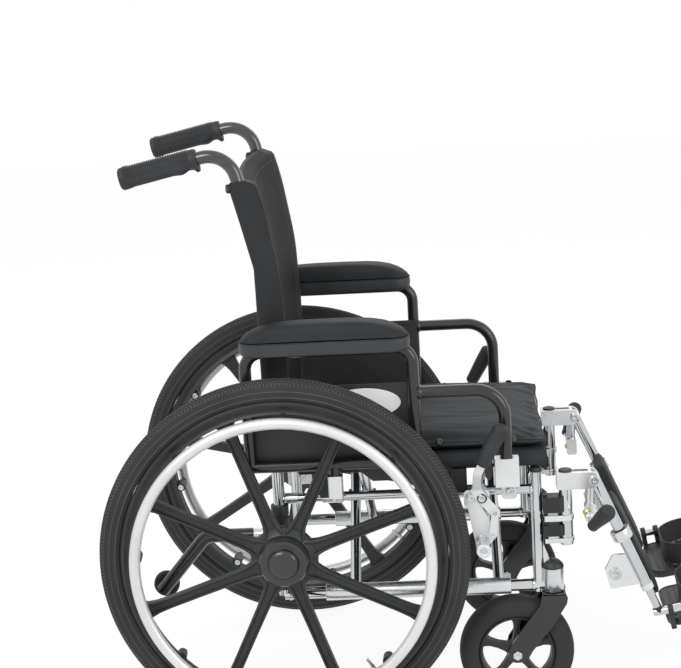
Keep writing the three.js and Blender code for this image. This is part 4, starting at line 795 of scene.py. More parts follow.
def arm_fittings(side):
    part = Build("arm_socket", side, SILVER_PAINT, BOLT)
    socket_block(part, 350, 390, 404, 452, 370)
    part.block(360, 386, 200.5, 229, 411, 420)
    part.prism([(362, 374), (366, 370.5), (382, 370.5), (386, 374), (386, 420), (360, 420)], 200.5, 210.5)
    part.bolt((375, 211.6, 386), OUT, 7, 6.6, 1, hexagon=True)
    part.seat("frame", "arm_socket_front", angle=34, bevel=0.8)
    lock = Build("arm_release", side, BLACK_PLASTIC, BOLT)
    outline = [(334, 451), (336, 452), (345, 452), (346.8, 450), (346.8, 428), (345.6, 418.6), (342, 414.6),
               (338, 415.4), (334.6, 421), (333.3, 434)]
    lock.prism(outline, ARM_Y - 6, ARM_Y + 3)
    lock.tube([(346, ARM_Y, 445), (349.6, ARM_Y, 445)], 2.9, 18, 1)
    lock.seat("arm_lock", "arm_lock", angle=40, bevel=1.4)


# Brake


def lever_grip(part, a, b, thin, thick, rate, blunt, neck, steps):
    """A rubber sleeve from a to b that thickens towards its rounded end."""
    points, radii = [], []
    for k in range(steps + 1):
        t = k / steps
        radius = lerp(thin, thick, smooth(t * rate)) * lerp(neck, 1, min(1, t / 0.05))
        if t > 1 - blunt:
            radius *= math.sqrt(1 - 0.96 * ((t - 1 + blunt) / blunt) ** 2)
        points.append(a.lerp(b, t))
        radii.append(radius)
    part.tube(points, radii, 32)


def brake(side):
    lever = Build("brake_handle", side, GRIP_RUBBER, SILVER_PAINT, BOLT)
    lever.strap(BRAKE_BOLT, (319, 398), 9.5, 245.2, 248.4, 1)
    lever.strap(BRAKE_BOLT, LINK_TOP, 8.5, 245.2, 248.4, 1)
    # the flat bar that cranks outward to the grip
    path = arc_route([(320, 246.8, 390), (319, 246.8, 400), (321, 267, 434), (332, 267, 454)], [14, 12], 6)
    rings = []
    for i, point in enumerate(path):
        along = (path[min(i + 1, len(path) - 1)] - path[max(i - 1, 0)]).normalized()
        wide = along.cross(OUT).normalized() * 7
        thick = wide.cross(along).normalized() * 1.7
        rings.append([point + wide + thick, point - wide + thick, point - wide - thick, point + wide - thick])
    lever.solid(rings, 1)
    lever_grip(lever, Vector((327.5, 267, 448)), Vector((366, 267, 515.5)), 11.6, 13.2, 1.4, 0.12, 0.86, 32)
    lever.tube([(LINK_TOP[0], 246, LINK_TOP[1]), (LINK_TOP[0], 252.6, LINK_TOP[1])], 2.9, 16, 2)
    lever.seat("brake_lever", "brake_lever", angle=36, bevel=0.5)
    link = Build("brake_connecting_link", side, SILVER_PAINT, BOLT)
    link.strap(LINK_TOP, LINK_FOOT, 6, 248.9, 251.9)
    for x, z in (LINK_TOP, LINK_FOOT):
        link.bolt((x, 251.7, z), OUT, 4.2, 0.9, 1)
    link.seat("brake_link", "brake_link", angle=34, bevel=0.4)
    shoe = Build("brake_bar", side, SILVER_PAINT, SILVER, BOLT)
    bar = arc(309, 386, 8.4, 30, 200, 8) + arc(*SHOE_PIN, 12, 186, 330, 8) + arc(*LINK_FOOT, 7.6, -30, 50, 8)
    shoe.prism(bar, 241.5, 244.6)
    shoe.lathe([(5.6, 241.6), (6, 242), (6, 248.2), (5.4, 248.7), (0, 248.7)],
               (LINK_FOOT[0], 0, LINK_FOOT[1]), sides=24)
    shoe.lathe([(12, 244), (12, 246), (11.4, 246.4), (11.4, 287.6), (12, 288), (12, 289), (11.2, 289.9),
                (6.4, 289.9), (5.4, 288.6), (0, 288.6)], (SHOE_PIN[0], 0, SHOE_PIN[1]), sides=36, mat=1)
    shoe.bolt((SHOE_PIN[0], 287.0, SHOE_PIN[1]), OUT, 4.6, 2.6, 2)
    shoe.seat("brake_shoe", "brake_shoe", angle=34, bevel=0.4)


# Casters


def caster(side):
    y = FRAME_Y
    fork = Build("front_fork", side, BLACK_PAINT, BOLT)
    outline = [(423, 201.2), (463, 201.2), (465, 196), (463, 186), (438, 146), (404, 104), (396, 90),
               (386, 84), (374, 83.5), (365, 88), (362, 98), (366, 112), (392, 150), (418, 184), (421, 196)]
    fork.block(423.4, 462.6, y - 28.8, y + 28.8, 196.6, 201.2)
    fork.tube([(STEM_X, y, 198), (STEM_X, y, 225)], 7.9, 24, 1)
    fork.lathe([(13, 201.2), (13, 201.9), (9, 201.9)], (STEM_X, y, 0), UP, 28, 1)
    fork.tube([(CASTER_X, y - 28, CASTER_R), (CASTER_X, y + 28, CASTER_R)], 4.9, 20, 1)
    for s in (-1, 1):
        fork.prism(outline, y + s * 24, y + s * 29)
        fork.bolt((CASTER_X, y + s * 29, CASTER_R), s * OUT, 8.6, 3.8, 1, hexagon=True)
    fork.seat("caster", "caster_fork", angle=34, bevel=1.0)

    wheel = Build("front_wheel", side, TYRE_RUBBER, BLACK_PLASTIC)
    tread = [(66, -19.5), (70, -21.4), (78, -22), (86, -21), (92, -17.6), (95.4, -12), (96.6, -6),
             (CASTER_R, 0), (96.6, 6), (95.4, 12), (92, 17.6), (86, 21), (78, 22), (70, 21.4), (66, 19.5),
             (64, 14), (64, -14)]
    rim = [(64.2, -15), (64.2, 15), (62, 17), (59, 15.6), (57.6, 10), (57.6, -10), (59, -15.6), (62, -17)]
    hub = [(5.3, -17.8), (13, -17.8), (15, -16), (16, -8), (16, 8), (15, 16), (13, 17.8), (5.3, 17.8)]
    for profile, sides, mat in ((tread, 96, 0), (rim, 72, 1), (hub, 40, 1)):
        wheel.lathe(profile, (CASTER_X, y, CASTER_R), sides=sides, mat=mat, closed=True)
    # five spokes: reach, half width and half thickness, round a section given in shares of them
    section_shares = ((-1, -1), (-1, 1), (-0.6, 1.15), (0.6, 1.15), (1, 1), (1, -1), (0.6, -1.15),
                      (-0.6, -1.15))
    stations = ((13, 9, 10), (20, 6.5, 9), (32, 5, 8), (46, 5.2, 8), (54, 7.5, 9), (60, 12, 10))
    spoke = [[(reach, across * wide, y + out * thick) for across, out in section_shares]
             for reach, wide, thick in stations]
    for k in range(5):
        wheel.solid(turned(spoke, CASTER_X, CASTER_R, TAU * k / 5 + 0.3), 1)
    wheel.seat("caster_roller", "caster_wheel", angle=36, bevel=0.4)


# Legrests


def saddles(side):
    y = FRAME_Y
    part = Build("hanger_saddle", side, BLACK_PLASTIC, SILVER, BOLT)
    rear, front, half, hollow = 429.2, 461.8, 14, 11.5
    spread = math.degrees(math.acos((HANGER_X - front) / hollow))
    outline = [(rear, y - half), (rear, y + half), (front, y + half)]
    outline += arc(HANGER_X, y, hollow, 180 - spread, 180 + spread, 20) + [(front, y - half)]
    # two blocks hollowed in front for the hanger tube, with moulded ribs on their outer faces
    for z0, z1, first, ribs in ((300, 319, 302, 5), (341, 368, 343.5, 7)):
        part.solid([[(px, py, z) for px, py in outline] for z in (z0, z1)])
        for k in range(ribs):
            z = first + 3.5 * k
            for s in (-1, 1):
                part.block(433, 457, y + s * half - 0.8, y + s * half + 0.8, z, z + 1.6)
    part.block(431, 437, y - 9, y + 9, 286, 372)
    # steel straps round the hanger tube, one under each block
    for z0, z1 in ((288, 296), (326, 336)):
        for s in (-1, 1):
            part.prism([(431, z0), (463, z0), (465, z0 + 1), (465, z1 - 1), (463, z1), (431, z1)],
                       y + s * 11.6, y + s * 13.6, 1)
        part.lathe([(11.4, z0), (13.0, z0 + 0.6), (13.0, z1 - 0.6), (11.4, z1)], (HANGER_X, y, 0), UP, 36, 1,
                   closed=True)
    part.seat("frame", "hinge_saddle", angle=34, bevel=0.4)


def hanger(side):
    y = FRAME_Y
    tube = Build("hanger_post", side, CHROME)
    tube.tube([(HANGER_X, y, 283), (HANGER_X, y, 408)], 11, 32)
    tube.seat("hanger", "hanger", angle=40)
    part = Build("hanger_bracket", side, SILVER, BLACK_PLASTIC, BOLT)
    web_z0, web_z1 = 406.6, 410
    # cheeks with their front ends rounded about the leg bolt, and the slot's sides between them
    cheek = [(455, 381), (453, 383), (453, 408), (455, 410)] + arc(509.5, 395.5, 14.4, 90, -90, 12)
    for s in (-1, 1):
        part.prism(cheek, y + s * 11.7, y + s * 15)
        part.block(479.6, 505.4, y + s * 6, y + s * 12.2, web_z0, web_z1)
        part.lathe([(9.4, 0.2), (9.4, 1.2), (8.2, 1.7)], LEG_BOLT + s * 14.8 * OUT, s * OUT, 28, 2)
        part.bolt(LEG_BOLT + s * 15.8 * OUT, s * OUT, 7.2, 3.2, 2)
    part.tube([LEG_BOLT + s * 15 * OUT for s in (-1, 1)], 3.9, 18, 2)
    part.block(453, 456.4, y - 14.9, y + 14.9, 381.4, 409.8)
    # top web before and behind the slot
    for x0, x1 in ((454, 480), (505, 511)):
        part.block(x0, x1, y - 12.2, y + 12.2, web_z0, web_z1)
    # black end cap on the post, and its steel foot
    part.lathe([(11.2, 409.4), (11.6, 410.4), (10.8, 412.4), (7.0, 413.8), (0, 414.2)],
               (468, y, 0), UP, 32, 1)
    part.lathe([(10.2, 282.9), (11.4, 283.6), (11.6, 287), (11.6, 290), (11.2, 290.6)],
               (HANGER_X, y, 0), UP, 32)
    part.seat("hanger", angle=34, bevel=0.6)


def leg_frame(half, depth, corner, start, stop):
    """Rings of a round-cornered rail down the leg's line."""
    rings = []
    for t in (start, stop):
        ring = []
        for ahead, out, base in ((1, 1, 0), (-1, 1, 90), (-1, -1, 180), (1, -1, 270)):
            bend = arc(ahead * (half - corner), FRAME_Y + out * (depth - corner), corner, base, base + 90, 10)
            ring += [leg_point(t, forward, y) for forward, y in bend]
        rings.append(ring)
    return rings


def legs(side):
    y = FRAME_Y
    rail = Build("leg_rail", side, CHROME)
    rail.solid(leg_frame(9.4, 9.7, 8.6, 2, 215))
    rail.lathe([(9.6, y - 9.7), (9.6, y + 9.7)], (LEG_BOLT.x, 0, LEG_BOLT.z), sides=36)
    rail.tube([(509, y, 386), (507, y, 346)], 8, 24)
    rail.seat("leg", "leg_tube", angle=40, bevel=0.5)
    part = Build("leg_fittings", side, SILVER, SILVER_PAINT, BOLT, BRASS)
    # ratchet housing and its small parts
    part.prism([(499, 350), (500, 352), (516, 352), (517, 350), (517, 324), (514, 322), (501, 322),
                (499, 325)], y - 9.6, 199.8)
    part.lathe([(9, 346), (9.4, 347), (9.4, 353), (9, 354)], (507, y, 0), UP, 28, 2)
    part.tube([(499.5, y - 2, 336), (499.5, y + 6, 336)], 4.2, 16, 3)
    part.tube([(508, 199.6, 344), (508, 201.4, 344)], 3.2, 16, 3)
    coils, coil_steps = 7, 119
    spring = []
    for k in range(coil_steps + 1):
        turn = TAU * coils * k / coil_steps
        spring.append((509 + 2.6 * math.cos(turn), 198.2 + 2.6 * math.sin(turn), 326 + 17 * k / coil_steps))
    part.tube(spring, 0.7, 6, 2)
    # lower plate for the length bolt
    part.prism([(529, 238), (533, 222), (537, 206), (540, 204), (586, 211), (563, 264), (545, 264),
                (541, 262)], 199, 206, 1)
    part.lathe([(11.4, 0), (11.4, 0.8), (10.2, 1.3)], (546, 205.8, 231), OUT, 32, 2)
    part.bolt((546, 206.6, 231), OUT, 8.6, 2.3, 2)
    # collar at the rail's lower end
    part.solid(leg_frame(10.6, 10.8, 9.2, 206, 216), 1)
    part.seat("leg", angle=34, bevel=0.5)

    lever = Build("leg_release", side, GRIP_RUBBER, SILVER)
    lever.lathe([(6.6, 200.4), (7, 200.9), (7, 212.8), (6.4, 213.3), (0, 213.3)], (505, 0, 334),
                sides=24, mat=1)
    lever.tube(arc_route([(505, 207.5, 334), (505, 262, 334), (505, 270, 339), (512, 284, 352)], [16, 10], 6),
               4.4, 16, 1)
    lever_grip(lever, Vector((505, 269, 338)), Vector((529, 320, 382)), 9.6, 13.3, 1.25, 0.16, 1, 28)
    lever.seat("release_lever", "release_lever", angle=50)

    tube = Build("footrest_slide", side, CHROME, BLACK_PLASTIC)
    tube.tube([leg_point(90, 0), leg_point(262, 0)], 6.8, 28)
    tube.tube([rod_point(u, 0) for u in (-7, -5, 60, 62)], [6, 7, 7, 6], 28)
    tube.tube([leg_point(252, 0), leg_point(262.4, 0)], 7.2, 24, 1)
    tube.seat("footrest", "footrest_tube", angle=40, bevel=0.4)
    calf(side)
    footplate(side)


def calf(side):
    """The calf pad, and the arm that swings it on the leg."""
    part = Build("calf_cushion", side, PAD_TOP, PAD_BAND, THREAD)
    columns, rows = 28, 36
    y0, y1 = 57.0, 167.0
    t0, t1 = 73.0, 247.0
    corner = 24.0
    straight_y, straight_t = (y1 - y0) / 2 - corner, (t1 - t0) / 2 - corner

    def outline(u, v):
        """Maps -1..1 square coordinates to a rounded rectangle."""
        px, pt = u * (straight_y + corner), v * (straight_t + corner)
        ex, et = max(0, abs(px) - straight_y), max(0, abs(pt) - straight_t)
        if max(ex, et) > 0:
            k = max(ex, et) / math.hypot(ex, et)
            px = math.copysign(min(abs(px), straight_y) + ex * k, px)
            pt = math.copysign(min(abs(pt), straight_t) + et * k, pt)
        return (y0 + y1) / 2 + px, (t0 + t1) / 2 + pt

    def at(column, row):
        return -1 + 2 * column / columns, -1 + 2 * row / rows

    for sign, depth in ((1, 4.2), (-1, 3.6)):
        face = []
        for j in range(rows + 1):
            line = []
            for i in range(columns + 1):
                u, v = at(i, j)
                puff = math.sqrt(max(0.0, 1 - max(abs(u), abs(v)) ** 7))
                y, t = outline(u, v)
                wave = 0.25 * noise.noise(Vector((y * 0.06, t * 0.05, 7.0 + side)))
                line.append(leg_point(t, 5 + sign * (6.4 + depth * puff) + wave * puff, y))
            face.append(line)
        part.grid(face)
    rim = [at(i, j) for i, j in border(columns, rows)]

    def at_rim(share, ahead):
        return [leg_point(t, ahead, y) for y, t in (outline(u * share, v * share) for u, v in rim)]

    band_shares = ((1.0, -1.4), (1.006, 0.6), (1.009, 5.0), (1.006, 9.4), (1.0, 11.4))
    part.grid([at_rim(share, ahead) for share, ahead in band_shares], close_rows=True)
    for ahead in (-0.6, 10.6):
        part.tube(at_rim(1.003, ahead), 0.9, 8, 2, closed=True)
    part.seat("calf_pad", angle=60)

    arm = Build("calf_arm", side, SILVER, BLACK_PLASTIC, BOLT)
    top, low = leg_point(100, 0), leg_point(118, 0)
    arm.lathe([(14.6, 0), (16.4, 0), (16.9, 0.8), (16.9, 17.2), (16.4, 18), (14.6, 18)], top, low - top, 36,
              closed=True)
    arm.tube([leg_point(109, 2, FRAME_Y - 16.4), leg_point(109, 5, 160)], 5, 20)
    plate = ((160, 84), (128, 84), (120, 92), (120, 126), (128, 134), (160, 134))
    arm.solid([[leg_point(t, ahead, y) for y, t in plate] for ahead in (-6.6, -3.4)], 1)
    for y, t in ((150, 92), (150, 126), (130, 109)):
        arm.bolt(leg_point(t, -6.4, y), (-LEG_COS, 0, -LEG_SIN), 4, 1.6, 2)
    arm.seat("calf_pad", "calf_pad", angle=34, bevel=0.5)


def footplate(side):
    part = Build("foot_plate", side, BLACK_PLASTIC)
    y0, y1 = 36.0, 190.0
    u0, u1 = 15.0, 176.0
    corner = 22.0
    ring = []
    for cu, cy, base in ((u1 - corner, y1 - corner, 0), (u0 + corner, y1 - corner, 90),
                         (u0 + corner, y0 + corner, 180), (u1 - corner, y0 + corner, 270)):
        ring += arc(cu, cy, corner, base, base + 90, 8)
    cu, cy = (u0 + u1) / 2, (y0 + y1) / 2
    level_shares = [(0.955, -34), (0.985, -33.2), (1.0, -30.5), (1.0, -22.2), (0.99, -20.5), (0.975, -20.0),
                    (0.962, -20.4), (0.95, -21.6), (0.93, -21.8)]
    part.solid([[rod_point(cu + (u - cu) * share, w, cy + (y - cy) * share) for u, y in ring]
                for share, w in level_shares])
    # raised tread ribs across the plate, the first and last cut short by its corners
    for k in range(12):
        u = u0 + 14 + k * 12.0
        inset = 20 if k in (0, 11) else 10
        rib = []
        for edge, s in ((y0, 1), (y1, -1)):
            foot, top = edge + s * inset, edge + s * (inset + 1)
            rib.append([rod_point(u, -21.9, foot), rod_point(u + 4.2, -21.9, foot),
                        rod_point(u + 3.4, -20.1, top), rod_point(u + 0.8, -20.1, top)])
        part.solid(rib)
    # hinge lugs round the rod
    axis = rod_point(1, 0) - rod_point(0, 0)
    lug = [(184.2, -33.6), (199.8, -33.6), (199.8, -6), (198, -2), (186, -2), (184.2, -6)]
    for u in (18, 42):
        part.lathe([(7.5, 0), (10.4, 0), (11, 0.6), (11, 8.4), (10.4, 9), (7.5, 9)], rod_point(u, 0), axis,
                   32, closed=True)
        part.solid([[rod_point(end, w, y) for y, w in lug] for end in (u + 0.2, u + 8.8)])
    part.seat("footplate", "footplate", angle=34, bevel=0.5)

    band = Build("heel_strap", side, WEBBING, THREAD)
    centre = arc_route([(118, 178, 0), (48, 178, 0), (48, 46, 0), (118, 46, 0)], 46, 12)
    edges = []
    for i, p in enumerate(centre):
        along = (centre[min(i + 1, len(centre) - 1)] - centre[max(i - 1, 0)]).normalized()
        normal = Vector((-along.y, along.x, 0))
        edges.append((p + normal * 1.3, p - normal * 1.3))
    heights = [-19.4, -18.6, -13, -6, 2, 10, 16, 19.0, 19.9]
    band.solid([[rod_point(a.x, w, a.y) for w in heights]
                + [rod_point(b.x, w, b.y) for w in reversed(heights)] for a, b in edges])
    # stitches along both edges, outside and inside
    for w in (-16.5, 17.4):
        for line in zip(*edges):
            band.tube([rod_point(p.x, w, p.y) for p in line], 0.5, 6, 1)
    piece = band.seat("footplate", "heel_loop", angle=50)
    foot = rod_point(80, heights[0], side * cy)
    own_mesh(piece)


# Anti-tip


def antitip(side):
    y = FRAME_Y
    part = Build("tip_guard_tube", side, BLACK_PAINT, SILVER, BOLT, BLACK_PLASTIC)
    bend, end = Vector((-138, y, 320)), Vector((-218, y, 226))
    part.tube(arc_route([(-57.4, y, 320), bend, end], 26), 11.4, 28)
    part.tube([(-60, y, 320), (-30, y, 320)], 6.3, 20, 1)
    # the height button between two spare holes' plugs
    for share, radius, height in ((0.42, 3.2, 0.9), (0.55, 3.8, 3.4), (0.68, 3.2, 0.9)):
        part.bolt(bend.lerp(end, share) + 10.6 * OUT, OUT, radius, height, 3, socket=False)
    part.tube([(TIP_AXLE_X, 159, TIP_AXLE_Z), (TIP_AXLE_X, y, TIP_AXLE_Z)], 3.9, 18, 2)
    part.seat("antitip", "antitip_tube", angle=40)
    wheel = Build("tip_guard_wheel", side, TYRE_RUBBER, BLACK_PLASTIC)
    tread = [(13, 162), (17, 161.4), (20, 162.6), (21.7, 166), (22, 170.5), (21.7, 175), (20, 178.4),
             (17, 179.6), (13, 179)]
    hub = [(4.4, 161.6), (12.6, 161.6), (13.4, 163), (13.4, 178), (12.6, 179.4), (4.4, 179.4)]
    for profile, sides, mat in ((tread, 48, 0), (hub, 36, 1)):
        wheel.lathe(profile, (TIP_AXLE_X, 0, TIP_AXLE_Z), sides=sides, mat=mat, closed=True)
    wheel.seat("antitip_wheel", "antitip_wheel", angle=40)


# Seat and braces


def braces():
    brace_bolt_z = (LOW_RAIL_Z + SEAT_Z) / 2
    for label, low_side, shift in (("a", -1, 0), ("b", 1, 22)):
        part = Build(f"scissor_brace_{label}", MIDDLE, CHROME, SILVER, BOLT, BLACK_PLASTIC)
        y_low, y_high = low_side * FRAME_Y, -low_side * FRAME_Y
        for x in (110 + shift, 352 - shift):
            part.tube([(x, y_low, LOW_RAIL_Z), (x, y_high, SEAT_Z)], 9, 28)
        part.lathe([(10.9, 60), (13.4, 60), (14, 60.8), (14, 371.2), (13.4, 372), (10.9, 372)],
                   (0, y_low, LOW_RAIL_Z), AHEAD, 32, 1, closed=True)
        part.tube([(25.5, y_high, SEAT_Z), (431.5, y_high, SEAT_Z)], 11, 32)
        for x in (25, 424):
            part.lathe([(11.4, 0), (11.6, 0.8), (11.6, 7.2), (11.4, 8)], (x, y_high, SEAT_Z), AHEAD, 28, 3)
        # the first brace carries the bolts that both turn on
        for x, s in ((110, 1), (352, -1)) if label == "a" else ():
            part.tube([(x - s * 9, 0, brace_bolt_z), (x + s * 36, 0, brace_bolt_z)], 4.9, 20, 2)
            part.bolt((x + s * 32, 0, brace_bolt_z), s * AHEAD, 8, 4, 2, hexagon=True)
            part.bolt((x - s * 8.6, 0, brace_bolt_z), -s * AHEAD, 8, 4, 2, hexagon=True)
        part.seat(f"brace_{label}", f"cross_brace_{label}", angle=36, bevel=0.4)


def sling():
    """The cloth stretched between the seat rails and wrapped round both."""
    part = Build("seat_sling_cover", MIDDLE, VINYL, THREAD)
    x0, x1 = 26.5, 438.5

    def wrap(radius, side):
        """A line round one rail, from its top outward and under it."""
        return [(side * y, z) for y, z in arc(FRAME_Y, SEAT_Z, radius, 90, -125, 18)]

    outside, inside, stitch = 13.3, 11.9, 13.5
    ring = wrap(outside, -1)[::-1] + wrap(outside, 1) + wrap(inside, 1)[::-1] + wrap(inside, -1)
    rings = []
    for k in range(41):
        x = lerp(x0, x1, k / 40)
        waves = [0.25 * noise.noise(Vector((x * 0.03, y * 0.03, z * 0.04))) for y, z in ring]
        rings.append([(x, y + wave, z) for (y, z), wave in zip(ring, waves)])
    part.solid(rings)
    for side in (-1, 1):
        for x in (x0 + 4, x1 - 4):
            part.tube([(x, y, z) for y, z in wrap(stitch, side)], 0.5, 6, 1)
    finish(part.place(), SEAT_SPAN, ["seat_sling"], angle=60)


def cushion():
    """One cover with drawn-in sides, creased fore and aft, with piping and snaps."""
    pad = Build("seat_pad", MIDDLE, VINYL)
    columns, rows = 132, 88
    hx, hy = 204.0, 185.0
    cx = 234.0
    base_z, seam_z, crown_z = 452, 458.5, 462
    top, under = [], []
    for j in range(rows + 1):
        v = -1 + 2 * j / rows
        line, low_line = [], []
        for i in range(columns + 1):
            u = -1 + 2 * i / columns
            dome = (1 - abs(u) ** 11) * (1 - abs(v) ** 9)
            pull = 1.8 * (0.5 + 0.5 * math.cos(u * 9.5)) * abs(v) ** 12
            front = 2.2 * (0.5 + 0.5 * math.cos(v * 10)) * abs(u) ** 14
            x = cx + u * (hx - front - 1.0) + 5.0 * smooth(u) * smooth(v)
            y = v * (hy - pull - 1.0)
            line.append(Vector((x, y, 462.5 + 11.5 * dome ** 0.55)))
            low_line.append(Vector((x, y, 449.0 + 8.5 * (1 - dome ** 0.45))))
        top.append(line)
        under.append(low_line)
    pad.grid(top)
    pad.grid(under)
    upper = [top[j][i] for i, j in border(columns, rows)]
    lower = [under[j][i] for i, j in border(columns, rows)]
    seam = []
    for a, b in zip(upper, lower):
        middle = (a + b) / 2
        seam.append(middle + Vector((middle.x - cx, middle.y, 0)).normalized())
    pad.grid([upper, seam, lower], close_rows=True)
    piece = pad.place()

    def held(place):
        x, y, z = (place.x - AXLE_X) / MM, place.y / MM, place.z / MM
        at_seam = abs(z - seam_z) < 3.5 and (abs(x - cx) > hx - 6 or abs(y) > hy - 6)
        return z < base_z or at_seam

    swell(piece, held, cap=0.006)
    # where each crease lies across the seat, its depth, its drift and its width
    creases = (
        (-172, 3.4, 5, 6), (-151, 1.5, -9, 5), (-112, 2.2, 14, 8), (-64, 1.6, -16, 6), (-22, 2.1, 12, 9),
        (31, 1.4, -14, 6), (70, 2.4, 15, 8), (121, 1.7, -12, 6), (160, 2.6, 6, 7),
    )

    def relief(u, v):
        """How far the cover rises or sinks in its creases, ripples and puckers."""
        x, y = cx + u * hx, v * hy
        height = 2.4 * noise.noise(Vector((x * 0.006, y * 0.022, 3)))
        height += 0.9 * noise.noise(Vector((x * 0.018, y * 0.07, 8)))
        height += 1.3 * math.sin(y * 0.15 + 2.2 * math.sin(y * 0.037)) * smooth((abs(u) - 0.84) / 0.1)
        for at, depth, drift, width in creases:
            line = at + drift * math.sin(u * 1.9 + at * 0.09)
            line += 9 * noise.noise(Vector((x * 0.009, at * 0.1, 0)))
            fade = 0.5 + 0.5 * math.cos(u * 2.1 + at * 0.7)
            height -= depth * math.exp(-((y - line) / width) ** 2) * fade
        return height

    for point in piece.data.vertices:
        u, v, z = ((point.co.x - AXLE_X) / MM - cx) / hx, point.co.y / MM / hy, point.co.z / MM
        if z > crown_z and abs(u) < 1 and abs(v) < 1:
            share = smooth((z - crown_z) / 6) * smooth((1 - abs(v)) / 0.06)
            point.co.z += relief(u, v) * share * MM
    finish(piece, SEAT_SPAN, ["seat_cushion"], angle=60)

    trim = Build("seat_pad_trim", MIDDLE, VINYL, THREAD, HUB_PLASTIC)
    trim.tube(seam, 1.5, 8, 1, closed=True)
    for x, y in ((262, -184), (384, -184), (395, 184), (160, 184), (276, 184), (140, -184)):
        out = math.copysign(1, y)
        trim.lathe([(6.0, -0.6), (6.0, 0.8), (5.0, 1.7), (3.4, 2.1), (2.6, 1.5), (0, 1.5)],
                   (x, y + out * 1.4, 466.0), (0, out * 0.8, 0.6), 24, 2)
    finish(trim.place(), SEAT_SPAN, angle=50)


def back():
    """A padded panel with sleeves round both canes, seams beside them and hems top and bottom."""
    part = Build("back_panel", MIDDLE, BACK_VINYL, THREAD, BACK_PAINTED_SHADE, SEAM_HIGHLIGHT)
    columns, rows = 96, 76
    half, bottom, top = 205.0, 470.5, 920.5
    thinnest = 2.4
    sleeve_columns, hem_rows = 9, 3
    front, rear = [], []
    for j in range(rows + 1):
        s = j / rows
        z = lerp(bottom, top, s)
        hem = 1 - 0.55 * smooth((abs(s - 0.5) * 2 - 0.965) / 0.035)
        front_line, rear_line = [], []
        for i in range(columns + 1):
            y = (-1 + 2 * i / columns) * half
            a = abs(y)
            middle = math.cos(min(1.0, a / 180) * math.pi / 2)
            # sleeve round the cane: front swells to the pad, the rear follows the tube
            lobe = math.exp(-((a - FRAME_Y) / 15.5) ** 2)
            edge = 1 - smooth((a - 199) / 6)
            wave = 1.1 * noise.noise(Vector((y * 0.012, z * 0.012, 1)))
            wave += 0.5 * noise.noise(Vector((y * 0.04, z * 0.03, 5)))
            fold = 0.54 * math.sin(z * 0.055 + a * 0.02) * lobe
            bulge = 27.2 + 2.2 * lobe - 2.4 * math.exp(-((a - 168) / 4.0) ** 2)
            fx = taut_x(z) + bulge * edge ** 0.6 * hem - 15.5 * middle + wave * middle * 0.9 + fold
            rx = cane_x(z) - 17.2 * edge ** 0.7 * hem * (0.35 + 0.65 * lobe) - 7.0 * middle + wave * 0.5
            front_line.append(Vector((max(fx, rx + thinnest), y, z)))
            rear_line.append(Vector((rx, y, z)))
        front.append(front_line)
        rear.append(rear_line)
    # the front between the sleeves takes the darker material, painted shade
    part.grid(front, lambda j, i: 2 if sleeve_columns <= i < columns - sleeve_columns else 0)
    part.grid(rear)
    part.grid([[sheet[j][i] for i, j in border(columns, rows)] for sheet in (front, rear)], close_rows=True)
    for sheet, out in ((front, 1), (rear, -1)):
        # light lines down both sleeve seams, front and rear: a painted highlight
        for column in (sleeve_columns, columns - sleeve_columns):
            part.tube([sheet[j][column] + out * 0.4 * AHEAD for j in range(2, rows - 1)], 0.9, 6, 3)
        for row in (hem_rows, rows - hem_rows):
            part.tube([point + out * 0.1 * AHEAD for point in sheet[row][3:-3]], 0.6, 6, 1)
    piece = part.seat("frame_right", "back_upholstery", angle=60)
    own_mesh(piece)


# Assembly

for side in (RIGHT, LEFT):
    for make in (tyre, mag_wheel, handrim, hub_cap, side_frame, back_cane, push_grip, armrest, arm_fittings,
                 brake, caster, saddles, hanger, legs):
        make(side)
    if side == RIGHT:
        antitip(side)
braces()
sling()
cushion()
back()


# Floor, light and camera


def background_rays(tree):
    """1 where the camera, a reflection or a clear material looks at the background."""
    paths = tree.nodes.new("ShaderNodeLightPath")
    seen = paths.outputs["Is Camera Ray"]
    for ray in ("Is Glossy Ray", "Is Transmission Ray"):
        either = add(tree, "ShaderNodeMath", operation="MAXIMUM")
        tree.links.new(seen, either.inputs[0])
        tree.links.new(paths.outputs[ray], either.inputs[1])
        seen = either.outputs["Value"]
    return seen


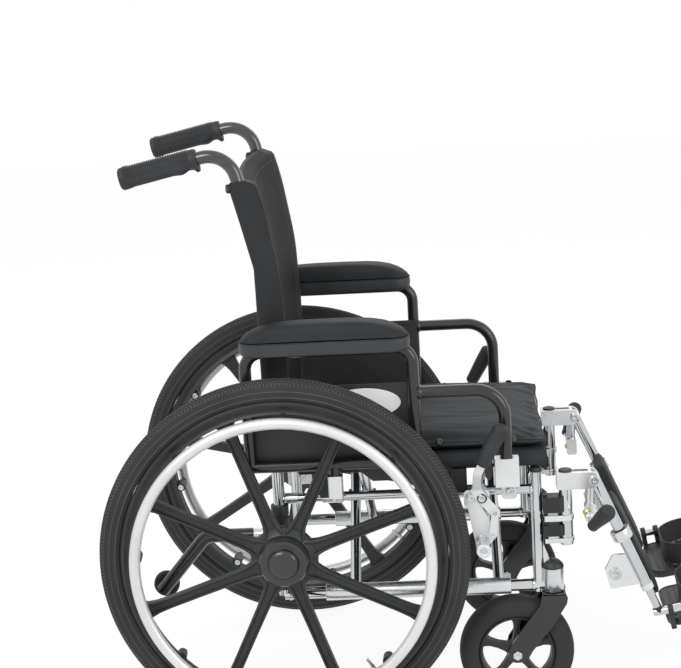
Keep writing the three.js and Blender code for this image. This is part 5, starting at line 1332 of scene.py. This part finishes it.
def backdrop():
    """A white floor that keeps the object's shadow."""
    material, tree, shader = nodes_of("white_floor")[:3]
    shader.inputs["Base Color"].default_value = (0.9, 0.9, 0.9, 1)
    shader.inputs["Roughness"].default_value = 0.9
    bpy.ops.mesh.primitive_plane_add(size=14, location=(0, 0, -0.0005))
    floor = bpy.context.object
    floor.name = "floor"
    glow = add(tree, "ShaderNodeEmission", Color=(1, 1, 1, 1), Strength=1.09)
    # the glow's share of what is seen; the rest is the lit floor with the shadow
    share = add(tree, "ShaderNodeMath", operation="MULTIPLY")
    share.inputs[1].default_value = 0.82
    mixed = tree.nodes.new("ShaderNodeMixShader")
    out = next(n for n in tree.nodes if n.type == "OUTPUT_MATERIAL")
    tree.links.new(background_rays(tree), share.inputs[0])
    tree.links.new(share.outputs["Value"], mixed.inputs["Fac"])
    tree.links.new(shader.outputs["BSDF"], mixed.inputs[1])
    tree.links.new(glow.outputs["Emission"], mixed.inputs[2])
    tree.links.new(mixed.outputs["Shader"], out.inputs["Surface"])
    floor.data.materials.append(material)


def world_light():
    world = bpy.data.worlds.new("studio")
    bpy.context.scene.world = world
    world.use_nodes = True
    tree = world.node_tree
    background = next(n for n in tree.nodes if n.type == "BACKGROUND")
    background.inputs["Color"].default_value = (1, 1, 1, 1)
    strength = span(tree, background_rays(tree), 0.55, 1.0)
    tree.links.new(strength, background.inputs["Strength"])


def lamp(name, place, target, size, power):
    data = bpy.data.lights.new(name, "AREA")
    data.shape = "RECTANGLE"
    data.size, data.size_y = size
    data.energy = power
    item = bpy.data.objects.new(name, data)
    bpy.context.scene.collection.objects.link(item)
    item.location = place
    item.rotation_euler = (Vector(target) - Vector(place)).to_track_quat("-Z", "Y").to_euler()


def camera():
    """The camera fitted to the picture, in the side drawing's axes."""
    pitch, yaw, roll = (math.radians(v) for v in (13.050, 2.878, -3.200))
    focal_pixels, picture_width = 1874.1, 681
    data = bpy.data.cameras.new("photo_camera")
    data.sensor_width = 36
    data.lens = focal_pixels * data.sensor_width / picture_width
    item = bpy.data.objects.new("photo_camera", data)
    base = Matrix(((1, 0, 0), (0, 0, -1), (0, 1, 0)))
    m = Matrix.Rotation(roll, 3, "Z") @ Matrix.Rotation(pitch, 3, "X") @ Matrix.Rotation(yaw, 3, "Y") @ base
    turn = Matrix((m[0], -m[1], -m[2])).transposed()
    place = Vector((258.4 * MM + AXLE_X, -3180.2 * MM, 1352.9 * MM))
    item.matrix_world = Matrix.Translation(place) @ turn.to_4x4()
    bpy.context.scene.collection.objects.link(item)
    bpy.context.scene.camera = item


backdrop()
world_light()
lamp("key", (-1.6, -2.6, 2.9), (0, 0, 0.5), (2.2, 1.6), 62)
lamp("fill", (2.8, -2.2, 1.6), (0, 0, 0.5), (1.8, 1.8), 32)
lamp("rim", (0.4, 2.6, 2.4), (0, 0, 0.6), (2.4, 1.2), 14)
camera()
bpy.context.scene.view_settings.view_transform = "Standard"
